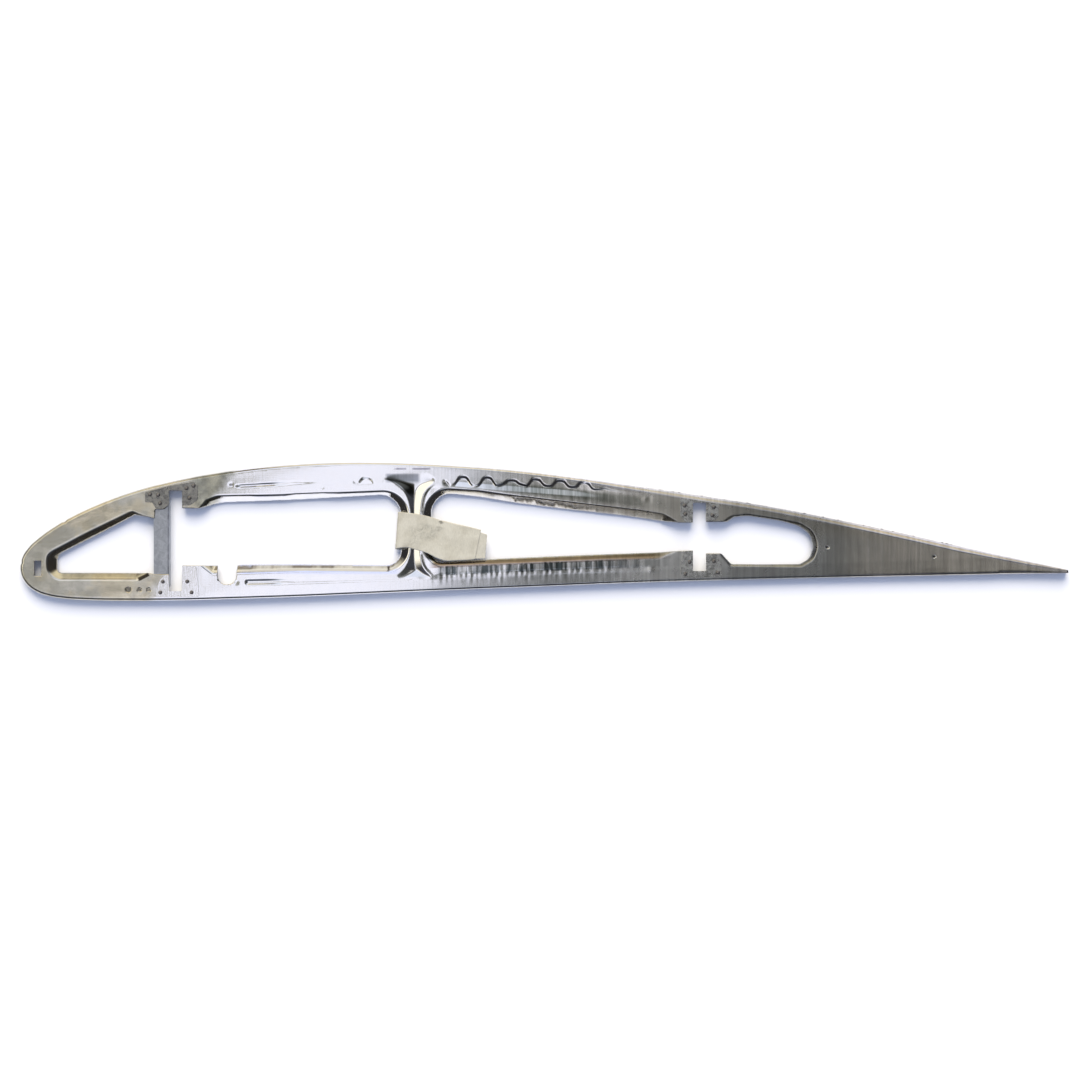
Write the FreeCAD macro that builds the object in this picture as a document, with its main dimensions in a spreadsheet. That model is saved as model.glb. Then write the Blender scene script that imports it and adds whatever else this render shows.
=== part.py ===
import FreeCAD, Part
import math, os
import Sketcher

# Pressed sheet-metal wing rib for a two-spar light aircraft.
# It lies flat: +X runs from the nose to the tail, +Y to the upper camber,
# +Z is the web normal, and the outer flange stands on z = 0.
# The contours are lofted on a template grid. One grid unit is the sheet's
# cell "grid"; the template's own zero is at (GX0, GY0), with y downwards.

V = FreeCAD.Vector
doc = FreeCAD.newDocument("wing_rib")

# ---------------------------------------------------------------- dimensions
sheet = doc.addObject("Spreadsheet::Sheet", "dims")
DIMS = [
    ("grid", 1.4528, "template grid unit; 1049 units make the 1524 mm chord"),
    ("rib_depth", 16.0, "height of the web's outer face above the flange edge"),
    ("gauge", 0.8, "sheet gauge of the pressing"),
    ("bend_radius", 4.0, "inside radius of the outer flange bend"),
    ("rim_angle", 40.0, "slope of the flanges round the bays, degrees"),
    ("rim_reach", 13.6, "drop of the bay plugs below the web"),
    ("aft_reach", 6.0, "drop of the rear opening's plug"),
    ("bead_half", 5.6, "half width of a stiffening bead at the web"),
    ("bead_drop", 2.4, "depth of a stiffening bead"),
    ("slot_width", 19.05, "spar slots, for a three-quarter inch spar"),
    ("front_slot_len", 146.0, "front spar slot, over both lugs"),
    ("rear_slot_len", 99.2, "rear spar slot, over both lugs"),
    ("slot_lip", 9.0, "depth of the lips turned down along the slots"),
    ("doubler_gauge", 0.8, "gauge of the slot doublers"),
    ("post_gauge", 1.0, "gauge of the front post angle"),
    ("post_leg", 22.4, "width of the post leg that lies on the web"),
    ("post_depth", 13.4, "depth of the post leg that stands beside the slot"),
    ("rivet_dia", 3.2, "rivet shank"),
    ("rivet_head_dia", 5.8, "rivet manufactured head"),
    ("rivet_head_height", 1.3, "rivet manufactured head"),
    ("rivet_tail_dia", 4.8, "rivet bucked tail"),
    ("rivet_tail_height", 1.4, "rivet bucked tail"),
    ("tool_hole_dia", 7.6, "nose tooling hole"),
    ("pair_hole_dia", 5.0, "pair of small nose holes"),
    ("tail_hole_dia", 3.2, "tooling holes in the tail web"),
    ("nose_slot_width", 9.7, "slot behind the leading edge"),
    ("nose_slot_len", 21.8, "slot behind the leading edge"),
    ("tape_gauge", 0.5, "masking tape, two layers"),
    ("tape_gap", 0.35, "clearance of the tape from the pressing"),
]
for row, (alias, value, note) in enumerate(DIMS, start=1):
    sheet.set("A%d" % row, alias)
    sheet.set("B%d" % row, "%g" % value)
    sheet.set("C%d" % row, note)
    sheet.setAlias("B%d" % row, alias)
doc.recompute()


def dim(alias):
    return float(sheet.get(alias))


GRID = dim("grid")
TOP = dim("rib_depth")
GAUGE = dim("gauge")
GX0, GY0 = 544.0, 531.44


def g(x, y):
    """Template grid point to millimetres."""
    return ((x - GX0) * GRID, (GY0 - y) * GRID)


# ------------------------------------------------------------ curve helpers
def unit(a):
    n = math.hypot(a[0], a[1])
    return (a[0] / n, a[1] / n)


def circle_tangent(a, b, c):
    """Tangent at b of the circle through a, b and c."""
    u = (b[0] - a[0], b[1] - a[1])
    w = (c[0] - b[0], c[1] - b[1])
    lu, lw = math.hypot(*u), math.hypot(*w)
    return unit((u[0] / lu * lw + w[0] / lw * lu, u[1] / lu * lw + w[1] / lw * lu))


def arc_mid(p, t, q):
    """Middle point of the arc that leaves p along t and ends at q."""
    c = (q[0] - p[0], q[1] - p[1])
    L = math.hypot(*c)
    cu = (c[0] / L, c[1] / L)
    s = t[0] * cu[1] - t[1] * cu[0]
    co = t[0] * cu[0] + t[1] * cu[1]
    half = math.atan2(s, co)
    sag = L / 2.0 * math.tan(half / 2.0)
    return (p[0] + c[0] / 2.0 + sag * cu[1], p[1] + c[1] / 2.0 - sag * cu[0])


def biarcs(stations):
    """Tangent arcs through the stations, as (start, middle, end) with normals."""
    n = len(stations)
    tan = []
    for i in range(n):
        a = stations[max(i - 1, 0)]
        b = stations[i]
        c = stations[min(i + 1, n - 1)]
        if i == 0:
            m = circle_tangent(b, c, stations[2])
            d = unit((c[0] - b[0], c[1] - b[1]))
            k = 2 * (m[0] * d[0] + m[1] * d[1])
            tan.append(unit((k * d[0] - m[0], k * d[1] - m[1])))
        elif i == n - 1:
            m = circle_tangent(stations[-3], a, b)
            d = unit((b[0] - a[0], b[1] - a[1]))
            k = 2 * (m[0] * d[0] + m[1] * d[1])
            tan.append(unit((k * d[0] - m[0], k * d[1] - m[1])))
        else:
            tan.append(circle_tangent(a, b, c))
    segs = []
    for i in range(n - 1):
        p, q, t0, t1 = stations[i], stations[i + 1], tan[i], tan[i + 1]
        v = (q[0] - p[0], q[1] - p[1])
        t = (t0[0] + t1[0], t0[1] + t1[1])
        vt = v[0] * t[0] + v[1] * t[1]
        vv = v[0] ** 2 + v[1] ** 2
        k = 2 * (1 - (t0[0] * t1[0] + t0[1] * t1[1]))
        if abs(k) < 1e-9:
            d = vv / (2 * vt)
        else:
            d = (-vt + math.sqrt(vt * vt + k * vv)) / k
        j = ((p[0] + q[0] + d * (t0[0] - t1[0])) / 2, (p[1] + q[1] + d * (t0[1] - t1[1])) / 2)
        tj = unit((j[0] - p[0] - d * t0[0], j[1] - p[1] - d * t0[1]))
        segs.append((p, t0, j, tj))
        segs.append((j, tj, q, t1))
    return segs


def edge(p, m, q, z):
    a, b, c = V(p[0], p[1], z), V(m[0], m[1], z), V(q[0], q[1], z)
    bow = b.distanceToLine(a, c - a)
    if bow < 2e-4:
        return Part.LineSegment(a, c).toShape()
    return Part.Arc(a, b, c).toShape()


def shifted(seg, d):
    """Start, middle and end of a segment shifted by d to the left of travel."""
    p, t0, q, t1 = seg
    m = arc_mid(p, t0, q)
    c = unit((q[0] - p[0], q[1] - p[1]))
    out = []
    for pt, tt in ((p, t0), (m, c), (q, t1)):
        out.append((pt[0] - tt[1] * d, pt[1] + tt[0] * d))
    return out


def chain_wire(segs, d, z, close=True):
    edges = []
    first = last = None
    for s in segs:
        p, m, q = shifted(s, d)
        if last is not None:
            p = last
        edges.append(edge(p, m, q, z))
        if first is None:
            first = p
        last = q
    if close:
        edges.append(Part.LineSegment(V(last[0], last[1], z), V(first[0], first[1], z)).toShape())
    return Part.Wire(edges)


def corner_segs(pts, d):
    """Rounded polygon pts = (x, y, r) in mm, taken inwards by d.

    The points run anticlockwise. Straight sides move in parallel, a convex
    corner loses d of its radius and a concave one gains it."""
    n = len(pts)
    lines = []
    for i in range(n):
        a, b = pts[i], pts[(i + 1) % n]
        t = unit((b[0] - a[0], b[1] - a[1]))
        lines.append(((a[0] - t[1] * d, a[1] + t[0] * d), t))
    corners = []
    for i in range(n):
        (p0, t0), (p1, t1) = lines[i - 1], lines[i]
        cr = t0[0] * t1[1] - t0[1] * t1[0]
        if abs(cr) < 1e-6:
            c = p1
        else:
            w = (p1[0] - p0[0], p1[1] - p0[1])
            s = (w[0] * t1[1] - w[1] * t1[0]) / cr
            c = (p0[0] + t0[0] * s, p0[1] + t0[1] * s)
        r = pts[i][2]
        r2 = max(r - d, 0.15) if cr > 0 else max(r + d, 0.15)
        corners.append((c, t0, t1, r2))
    need = []
    for i in range(n):
        c, t0, t1, r = corners[i]
        dot = max(-1.0, min(1.0, t0[0] * t1[0] + t0[1] * t1[1]))
        need.append(r * math.tan(math.acos(dot) / 2))
    for i in range(n):
        j = (i + 1) % n
        L = math.dist(corners[i][0], corners[j][0])
        if need[i] + need[j] > L * 0.98:
            k = L * 0.98 / (need[i] + need[j])
            need[i] *= k
            need[j] *= k
    out = []
    for i in range(n):
        c, t0, t1, r = corners[i]
        a = (c[0] - t0[0] * need[i], c[1] - t0[1] * need[i])
        b = (c[0] + t1[0] * need[i], c[1] + t1[1] * need[i])
        out.append((a, t0, b, t1))
    return out


def poly_wire(pts, d, z):
    segs = corner_segs(pts, d)
    edges = []
    n = len(segs)
    for i in range(n):
        p, t0, q, t1 = segs[i]
        m = arc_mid(p, t0, q)
        edges.append(edge(p, m, q, z))
        nxt = segs[(i + 1) % n][0]
        edges.append(Part.LineSegment(V(q[0], q[1], z), V(nxt[0], nxt[1], z)).toShape())
    return Part.Wire(edges)


def ccw(grid_pts, scale_r=True):
    """Grid polygon (x, y, r) to anticlockwise millimetres."""
    pts = []
    for p in grid_pts:
        x, y = g(p[0], p[1])
        pts.append((x, y, (p[2] if len(p) > 2 else 0.0) * GRID))
    area = sum(pts[i][0] * pts[(i + 1) % len(pts)][1] - pts[(i + 1) % len(pts)][0] * pts[i][1]
               for i in range(len(pts)))
    return pts if area > 0 else pts[::-1]


def frustum(pts, z0, d0, z1, d1):
    """Solid between two levels of one rounded polygon."""
    return Part.makeLoft([poly_wire(pts, d0, z0), poly_wire(pts, d1, z1)], True, True)


def prism(pts, z0, z1, d=0.0):
    w = poly_wire(pts, d, z0)
    return Part.Face(w).extrude(V(0, 0, z1 - z0))


def add(name, shape):
    f = doc.addObject("Part::Feature", name)
    f.Shape = shape
    return f


# ------------------------------------------------------- contour of the rib
CONTOUR = [
    (1042, 564.3), (1020, 559.6), (956, 545.6), (892, 531.2), (828, 517.9), (764, 505.7), (700, 495.7),
    (636, 486.2), (572, 477.1), (508, 469.6), (444, 464.7), (380, 462.1), (320, 462.7),
    (268, 466.2), (220, 472.5), (172, 481.3), (132, 491.7), (100, 503.4), (76, 514.2),
    (56, 525.3), (40, 536.4), (28, 547.2), (21.5, 557.2), (19.5, 567.0), (21.5, 577.5),
    (27.5, 586.2), (37, 592.7), (49, 596.6), (64, 598.9), (90, 600.4), (130, 600.9),
    (180, 600.6), (240, 599.0), (300, 597.0), (360, 594.4), (440, 590.9), (540, 586.9),
    (640, 582.9), (732, 580.2), (828, 578.0), (924, 576.0), (1004, 574.4), (1042, 573.7)]
contour = biarcs([g(x, y) for x, y in CONTOUR])
# The stations run round the nose with the material on the left of travel.

# ------------------------------------------------- openings (rim) and bends
FRONT_WINDOW = [
    (169.05, 490.5, 0.8), (169.05, 505.0, 4.0), (164.0, 509.3, 4.5), (155.4, 509.3, 1.5),
    (154.4, 518.6, 0.8), (146.5, 516.6, 4.0), (134.3, 514.8, 2.0), (99.0, 533.4, 60.0),
    (56.0, 555.2, 9.0), (56.0, 572.8, 5.0), (149.4, 573.0, 4.0), (155.0, 574.2, 2.0),
    (169.05, 574.2, 0.5), (169.05, 591.0, 0.8), (182.15, 591.0, 0.8), (182.15, 565.4, 1.0),
    (199.0, 565.5, 2.0), (240.0, 564.6, 60.0), (300.0, 564.4, 200.0), (400.8, 565.6, 15.0),
    (399.9, 493.8, 20.0), (300.0, 499.6, 200.0), (220.0, 502.6, 60.0), (199.0, 508.3, 3.0),
    (182.15, 508.3, 1.0), (182.15, 490.5, 0.8)]
AFT_WINDOW = [
    (431.2, 492.6, 19.0), (454.0, 494.0, 40.0), (480.0, 497.0, 80.0), (518.0, 503.2, 150.0), (563.0, 508.7, 300.0),
    (624.0, 515.4, 300.0), (662.0, 521.0, 60.0), (680.0, 522.6, 3.0), (692.95, 522.6, 0.5),
    (692.95, 502.7, 0.8), (706.05, 502.7, 0.8), (706.05, 521.8, 0.5), (727.4, 521.8, 2.0),
    (734.0, 517.0, 5.0), (748.0, 515.7, 20.0), (780.0, 520.2, 60.0), (803.0, 527.4, 16.0),
    (812.2, 538.0, 10.0), (812.2, 554.0, 11.0), (801.5, 563.2, 8.0), (762.5, 564.2, 150.0),
    (731.5, 564.2, 5.0), (721.6, 553.4, 3.0), (706.05, 553.4, 0.5), (706.05, 571.0, 0.8),
    (692.95, 571.0, 0.8), (692.95, 550.4, 0.5), (682.0, 550.7, 2.0), (656.0, 552.6, 80.0),
    (580.0, 555.2, 200.0), (500.0, 558.6, 200.0), (445.0, 562.4, 60.0), (431.8, 563.0, 11.0)]
NOSE_BEND = [
    (131.2, 509.2, 6.0), (149.5, 517.0, 2.0), (158.0, 522.0, 2.0), (158.0, 570.0, 2.0), (153.0, 571.0, 2.0),
    (136.8, 581.6, 3.0), (45.2, 581.6, 17.0), (45.2, 552.6, 14.0), (84.2, 531.9, 50.0)]
MID_BEND = [
    (196.0, 510.4, 2.0), (206.0, 498.4, 8.0), (216.5, 494.6, 15.0), (300.0, 492.8, 200.0),
    (409.2, 488.2, 31.0), (410.4, 574.0, 27.0), (300.0, 572.8, 200.0), (211.5, 575.3, 5.0), (196.0, 563.3, 2.0)]
AFT_BEND = [
    (422.6, 485.4, 27.0), (480.0, 488.9, 90.0), (518.0, 494.9, 150.0), (563.0, 500.3, 300.0),
    (641.0, 509.4, 200.0), (664.5, 513.4, 15.0), (684.5, 525.0, 2.0), (688.0, 530.0, 2.0),
    (688.0, 547.9, 2.0), (658.5, 560.4, 14.0), (605.0, 561.8, 200.0), (512.0, 566.9, 200.0),
    (440.0, 570.5, 80.0), (422.6, 571.2, 22.0)]
REAR_BEND = [
    (716.0, 526.0, 2.0), (731.2, 515.0, 7.0), (748.0, 512.9, 20.0), (780.0, 517.5, 60.0),
    (804.0, 524.6, 18.0), (817.6, 536.5, 13.0), (817.6, 555.0, 14.0), (805.5, 567.0, 11.0),
    (762.0, 567.4, 150.0), (730.2, 567.2, 6.0), (716.0, 550.5, 2.0)]

slope = math.tan(math.radians(dim("rim_angle")))
wall = GAUGE / math.sin(math.radians(dim("rim_angle")))

# -------------------------------------------------------------- the pressing
# Blank with its outer flange: a solid with a rounded upper edge, hollowed.
outer_r = dim("bend_radius") + GAUGE


def rounded_block(inset, z0, z1, radius):
    w = chain_wire(contour, inset, z0)
    block = Part.Face(w).extrude(V(0, 0, z1 - z0))
    tail = g(1042, 0)[0]
    rim = [e for e in block.Edges
           if all(abs(v.Point.z - z1) < 1e-6 for v in e.Vertexes)
           and not all(abs(v.Point.x - tail) < 1.5 for v in e.Vertexes)]
    return block.makeFillet(radius, rim)


shell_outer = rounded_block(0.0, 0.0, TOP, outer_r)
shell_inner = rounded_block(GAUGE, -1.0, TOP - GAUGE, dim("bend_radius"))
# Past the end of the flanges the web runs on flat to the trailing edge.
shell_inner_cut = shell_inner.fuse(Part.makeBox(6, 40, TOP - GAUGE + 1, V(g(1042, 0)[0] - 1.2, g(0, 580)[1], -1)))
blank_outer = add("blank_outer", shell_outer)
blank_inner = add("blank_inner", shell_inner_cut)
blank = doc.addObject("Part::Cut", "blank")
blank.Base, blank.Tool = blank_outer, blank_inner
tongue = add("tail_tongue", prism(ccw([
    (1030, 567.9), (1042.2, 567.9), (1042.5, 564.5), (1068.5, 570.0), (1068.5, 573.2), (1042.5, 573.7),
    (1042.2, 570.2), (1030, 570.2)]), TOP - GAUGE, TOP))

fuse_list = [blank, tongue]
cut_list = []
for label, bend, reach in (("nose_bay", NOSE_BEND, dim("rim_reach")), ("mid_bay", MID_BEND, dim("rim_reach")),
                           ("aft_bay", AFT_BEND, dim("rim_reach")), ("rear_bay", REAR_BEND, dim("aft_reach"))):
    pts = ccw(bend)
    run = reach / slope
    # Metal of the sloping flange: the outer plug less the inner plug.
    fuse_list.append(add(label + "_rim_outer", frustum(pts, TOP - 0.05, -wall + 0.05 / slope, TOP - reach, run - wall)))
    cut_list.append(add(label + "_rim_inner", frustum(pts, TOP + 0.6, -0.6 / slope, TOP - reach - 0.5, run + 0.5 / slope)))

for label, win in (("front_window", FRONT_WINDOW), ("aft_window", AFT_WINDOW)):
    cut_list.append(add(label, prism(ccw(win), -1.0, TOP + 1.0)))


# Stiffening beads: shallow troughs with sloping sides and round ends.
def bead_outline(path, half):
    left, right = [], []
    n = len(path)
    for i, p in enumerate(path):
        a = path[max(i - 1, 0)]
        b = path[min(i + 1, n - 1)]
        t = unit((b[0] - a[0], b[1] - a[1]))
        e = 0.0
        if i == 0:
            e = -half
        if i == n - 1:
            e = half
        q = (p[0] + t[0] * e, p[1] + t[1] * e)
        r = half * 0.98 if i in (0, n - 1) else 120.0
        left.append((q[0] - t[1] * half, q[1] + t[0] * half, r))
        right.append((q[0] + t[1] * half, q[1] - t[0] * half, r))
    return right + left[::-1]


BEADS = [
    ("upper_bead", [(236, 484.2), (300, 480.2), (380, 476.2), (424, 477.4), (480, 482.6), (580, 490.2), (642, 498.2)], 1.0),
    ("lower_bead", [(248, 582.2), (300, 581.2), (440, 576.8), (520, 572.6), (620, 568.9), (648, 568.9)], 1.0)]
for label, path, k in BEADS:
    half, drop = dim("bead_half") * k, dim("bead_drop") * k
    pts = bead_outline([g(x, y) for x, y in path], half)
    side = drop * 1.25
    fuse_list.append(add(label + "_outer", frustum(pts, TOP - 0.3, 0.05, TOP - drop - GAUGE, side - GAUGE * 0.55)))
    cut_list.append(add(label + "_inner", frustum(pts, TOP + 0.3, -0.3, TOP - drop, side)))

# The two beads are joined down the post by a valley that spreads into a
# three-cornered recess at each end. It is a little shallower than they are.
POST_VALLEY = [
    (384.0, 474.2, 2.0), (416.6, 474.6, 2.0), (416.0, 497.0, 40.0), (416.4, 560.0, 60.0), (417.4, 577.2, 1.5),
    (391.5, 578.2, 1.5), (403.5, 573.0, 10.0), (409.8, 560.0, 14.0), (409.6, 500.0, 22.0), (402.5, 484.0, 14.0), (388.0, 479.2, 6.0)]
vdrop = dim("bead_drop") * 0.8
pts = ccw(POST_VALLEY)
fuse_list.append(add("post_valley_outer", frustum(pts, TOP - 0.25, 0.05, TOP - vdrop - GAUGE, vdrop * 1.25 - GAUGE * 0.55)))
cut_list.append(add("post_valley_inner", frustum(pts, TOP + 0.25, -0.25, TOP - vdrop, vdrop * 1.25)))

# Lips turned down along the spar slots.
fx0 = g(175.6, 0)[0] - dim("slot_width") / 2
fx1 = fx0 + dim("slot_width")
rx0 = g(699.5, 0)[0] - dim("slot_width") / 2
rx1 = rx0 + dim("slot_width")
LIPS = [
    ("lip_a", fx0 - GAUGE, 498.3, 491.6), ("lip_b", fx1, 507.9, 491.6),
    ("lip_c", fx0 - GAUGE, 590.4, 586.8), ("lip_d", fx1, 590.4, 565.8),
    ("lip_e", rx0 - GAUGE, 522.2, 503.6), ("lip_f", rx1, 521.4, 503.6),
    ("lip_g", rx0 - GAUGE, 570.4, 550.9), ("lip_h", rx1, 570.4, 553.9)]
for label, x0, ya, yb in LIPS:
    b = doc.addObject("Part::Box", label)
    b.setExpression("Length", "dims.gauge")
    b.Width = (ya - yb) * GRID
    b.setExpression("Height", "dims.slot_lip")
    b.Placement = FreeCAD.Placement(V(x0, g(0, ya)[1], TOP - GAUGE / 2 - dim("slot_lip")), FreeCAD.Rotation())
    fuse_list.append(b)

# Cutters with sizes of their own: slots, holes, the cable notch and reliefs.
for label, x, top_y, key in (("front_spar_slot", fx0, 490.5, "front_slot_len"), ("rear_spar_slot", rx0, 502.7, "rear_slot_len")):
    b = doc.addObject("Part::Box", label)
    b.setExpression("Length", "dims.slot_width")
    b.setExpression("Width", "dims." + key)
    b.Height = TOP + 2
    b.Placement = FreeCAD.Placement(V(x, g(0, top_y)[1] - dim(key), -1), FreeCAD.Rotation())
    cut_list.append(b)

b = doc.addObject("Part::Box", "nose_slot")
b.setExpression("Length", "dims.nose_slot_width")
b.setExpression("Width", "dims.nose_slot_len")
b.Height = 6
c = g(37.85, 568.5)
b.Placement = FreeCAD.Placement(V(c[0] - dim("nose_slot_width") / 2, c[1] - dim("nose_slot_len") / 2, TOP - 5), FreeCAD.Rotation())
cut_list.append(b)

HOLES = [("nose_tooling_hole", 128.3, 589.6, "tool_hole_dia"), ("nose_pair_hole_a", 139.3, 589.6, "pair_hole_dia"),
         ("nose_pair_hole_b", 148.6, 589.6, "pair_hole_dia"), ("tail_hole_a", 827.6, 547.3, "tail_hole_dia"),
         ("tail_hole_b", 934.5, 556.6, "tail_hole_dia")]
for label, x, y, key in HOLES:
    h = doc.addObject("Part::Cylinder", label)
    h.setExpression("Radius", "dims.%s / 2" % key)
    h.Height = 6
    h.Placement = FreeCAD.Placement(V(g(x, y)[0], g(x, y)[1], TOP - 5), FreeCAD.Rotation())
    cut_list.append(h)

notch = doc.addObject("Part::Cylinder", "cable_notch_end")
notch.Radius = 9.5 * GRID
notch.Height = TOP + 2
notch.Placement = FreeCAD.Placement(V(g(227, 0)[0], g(0, 575.0)[1], -1), FreeCAD.Rotation())
notch_box = doc.addObject("Part::Box", "cable_notch_throat")
notch_box.Length = 19.0 * GRID
notch_box.Width = 15.0 * GRID
notch_box.Height = TOP + 2
notch_box.Placement = FreeCAD.Placement(V(g(217.5, 0)[0], g(0, 575.0)[1], -1), FreeCAD.Rotation())
cut_list += [notch, notch_box]

for label, x, y, w in (("upper_relief", 64.0, 521.2, 2.6), ("nose_relief", 19.6, 562.0, 2.0)):
    r = doc.addObject("Part::Cylinder", label)
    r.Radius = w
    r.Height = TOP + 2
    r.Placement = FreeCAD.Placement(V(g(x, y)[0], g(x, y)[1], -1), FreeCAD.Rotation())
    cut_list.append(r)

# ------------------------------------------------------------------- rivets
RIVETS = {
    "front_upper_doubler_rivets": [(150.0, 494.4), (158.2, 494.8), (186.6, 488.2), (189.5, 498.0), (193.6, 485.8)],
    "front_lower_doubler_rivets": [(160.4, 592.4), (187.4, 581.5), (191.6, 592.4)],
    "rear_upper_doubler_rivets": [(684.6, 505.6), (685.3, 514.2), (713.8, 507.0), (712.4, 515.2)],
    "rear_lower_doubler_rivets": [(689.6, 562.0), (685.5, 574.0), (713.8, 561.3), (718.0, 572.6)],
    "front_post_rivets": [(160.2, 503.4), (163.0, 581.6)],
}
for group, places in RIVETS.items():
    for i, (x, y) in enumerate(places):
        h = doc.addObject("Part::Cylinder", "web_hole_%s_%d" % (group, i))
        h.setExpression("Radius", "dims.rivet_dia / 2")
        h.Height = 8
        h.Placement = FreeCAD.Placement(V(g(x, y)[0], g(x, y)[1], TOP - 6), FreeCAD.Rotation())
        cut_list.append(h)

metal = doc.addObject("Part::MultiFuse", "pressing_metal")
metal.Shapes = fuse_list
voids = doc.addObject("Part::MultiFuse", "pressing_voids")
voids.Shapes = cut_list
rib = doc.addObject("Part::Cut", "rib_pressing")
rib.Base, rib.Tool = metal, voids
rib.Label = "rib_pressing"


# ----------------------------------------------------------------- doublers
def origin_plane(body, role):
    for f in body.Origin.OriginFeatures:
        if f.Role == role:
            return f
    raise RuntimeError("no plane " + role)


def add_outline(sk, grid_pts):
    """Closed outline of lines and tangent arcs, given on the template grid."""
    pts = ccw(grid_pts)
    segs = corner_segs(pts, 0.0)
    n = len(segs)
    for i in range(n):
        p, t0, q, t1 = segs[i]
        m = arc_mid(p, t0, q)
        a, b, c2 = V(p[0], p[1], 0), V(m[0], m[1], 0), V(q[0], q[1], 0)
        if a.distanceToPoint(c2) > 0.02 and b.distanceToLine(a, c2 - a) > 1e-3:
            sk.addGeometry(Part.Arc(a, b, c2), False)
        else:
            sk.addGeometry(Part.LineSegment(a, c2), False)
        nxt = segs[(i + 1) % n][0]
        sk.addGeometry(Part.LineSegment(c2, V(nxt[0], nxt[1], 0)), False)
    m = len(sk.Geometry)
    for i in range(m):
        j = (i + 1) % m
        # A clockwise arc keeps its ends the other way round, so match by place.
        ends = [(sk.getPoint(i, a).distanceToPoint(sk.getPoint(j, b)), a, b) for a in (1, 2) for b in (1, 2)]
        gap, a, b = min(ends)
        if gap > 1e-4:
            raise RuntimeError("outline is open at %d" % i)
        sk.addConstraint(Sketcher.Constraint("Coincident", i, a, j, b))


def plate(label, outline, gauge_cell, level, holes):
    """Flat plate: an outline padded by its gauge, with rivet holes cut through."""
    body = doc.addObject("PartDesign::Body", label)
    body.Label = label
    sk = body.newObject("Sketcher::SketchObject", label + "_outline")
    sk.AttachmentSupport = [(origin_plane(body, "XY_Plane"), "")]
    sk.MapMode = "FlatFace"
    add_outline(sk, outline)
    pad = body.newObject("PartDesign::Pad", label + "_pad")
    pad.Profile = sk
    pad.setExpression("Length", "dims." + gauge_cell)
    doc.recompute()
    full = pad.Shape.Volume
    hs = body.newObject("Sketcher::SketchObject", label + "_holes")
    hs.AttachmentSupport = [(origin_plane(body, "XY_Plane"), "")]
    hs.MapMode = "FlatFace"
    for x, y in holes:
        k = hs.addGeometry(Part.Circle(V(g(x, y)[0], g(x, y)[1], 0), V(0, 0, 1), dim("rivet_dia") / 2), False)
        ci = hs.addConstraint(Sketcher.Constraint("Radius", k, dim("rivet_dia") / 2))
        hs.setExpression("Constraints[%d]" % ci, "dims.rivet_dia / 2")
    pocket = body.newObject("PartDesign::Pocket", label + "_rivet_holes")
    pocket.Profile = hs
    pocket.Type = 1
    pocket.Midplane = True
    doc.recompute()
    body.Tip = pocket
    doc.recompute()
    if not pocket.Shape.Volume < full - 1.0:
        raise RuntimeError(label + ": rivet holes cut nothing")
    body.Placement = FreeCAD.Placement(V(0, 0, level), FreeCAD.Rotation())
    return body


DOUBLERS = {
    "front_upper_doubler": (
        [(145.0, 492.4, 1.5), (169.0, 486.1, 20.0), (193.4, 481.9, 3.0), (197.9, 485.5, 3.0), (197.9, 500.0, 5.0),
         (190.0, 505.4, 4.0), (182.15, 505.4, 0.5), (182.15, 490.5, 0.6), (169.05, 490.5, 0.6), (169.05, 504.8, 3.6),
         (163.6, 508.7, 4.5), (155.9, 508.7, 3.0), (152.4, 502.6, 2.0), (145.0, 502.2, 1.5)],
        ["front_upper_doubler_rivets"], (160.2, 503.4)),
    "front_lower_doubler": (
        [(155.9, 596.9, 1.0), (156.6, 589.0, 4.0), (160.2, 579.4, 3.0), (165.0, 575.0, 2.0), (169.05, 575.0, 0.5),
         (169.05, 591.0, 0.6), (182.15, 591.0, 0.6), (182.15, 566.0, 0.6), (196.4, 566.1, 3.0), (197.6, 581.0, 6.0),
         (199.4, 596.6, 1.5)],
        ["front_lower_doubler_rivets"], (163.0, 581.6)),
    "rear_upper_doubler": (
        [(680.2, 497.6, 1.5), (718.6, 503.6, 1.5), (718.6, 517.0, 4.0), (713.4, 521.2, 3.0), (706.05, 521.2, 0.5),
         (706.05, 502.7, 0.6), (692.95, 502.7, 0.6), (692.95, 522.0, 0.5), (684.8, 522.0, 2.0), (680.2, 515.4, 3.0)],
        ["rear_upper_doubler_rivets"], None),
    "rear_lower_doubler": (
        [(684.6, 551.2, 1.0), (692.95, 551.0, 0.5), (692.95, 571.0, 0.6), (706.05, 571.0, 0.6), (706.05, 554.0, 0.5),
         (716.6, 554.0, 2.0), (721.4, 564.0, 8.0), (721.8, 576.6, 1.5), (680.6, 577.4, 1.5), (680.9, 560.0, 3.0)],
        ["rear_lower_doubler_rivets"], None),
}
nodes = {"rib_pressing": rib}
for label, (outline, groups, extra) in DOUBLERS.items():
    holes = [p for k in groups for p in RIVETS[k]]
    if extra:
        holes.append(extra)
    nodes[label] = plate(label, outline, "doubler_gauge", TOP, holes)

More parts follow.
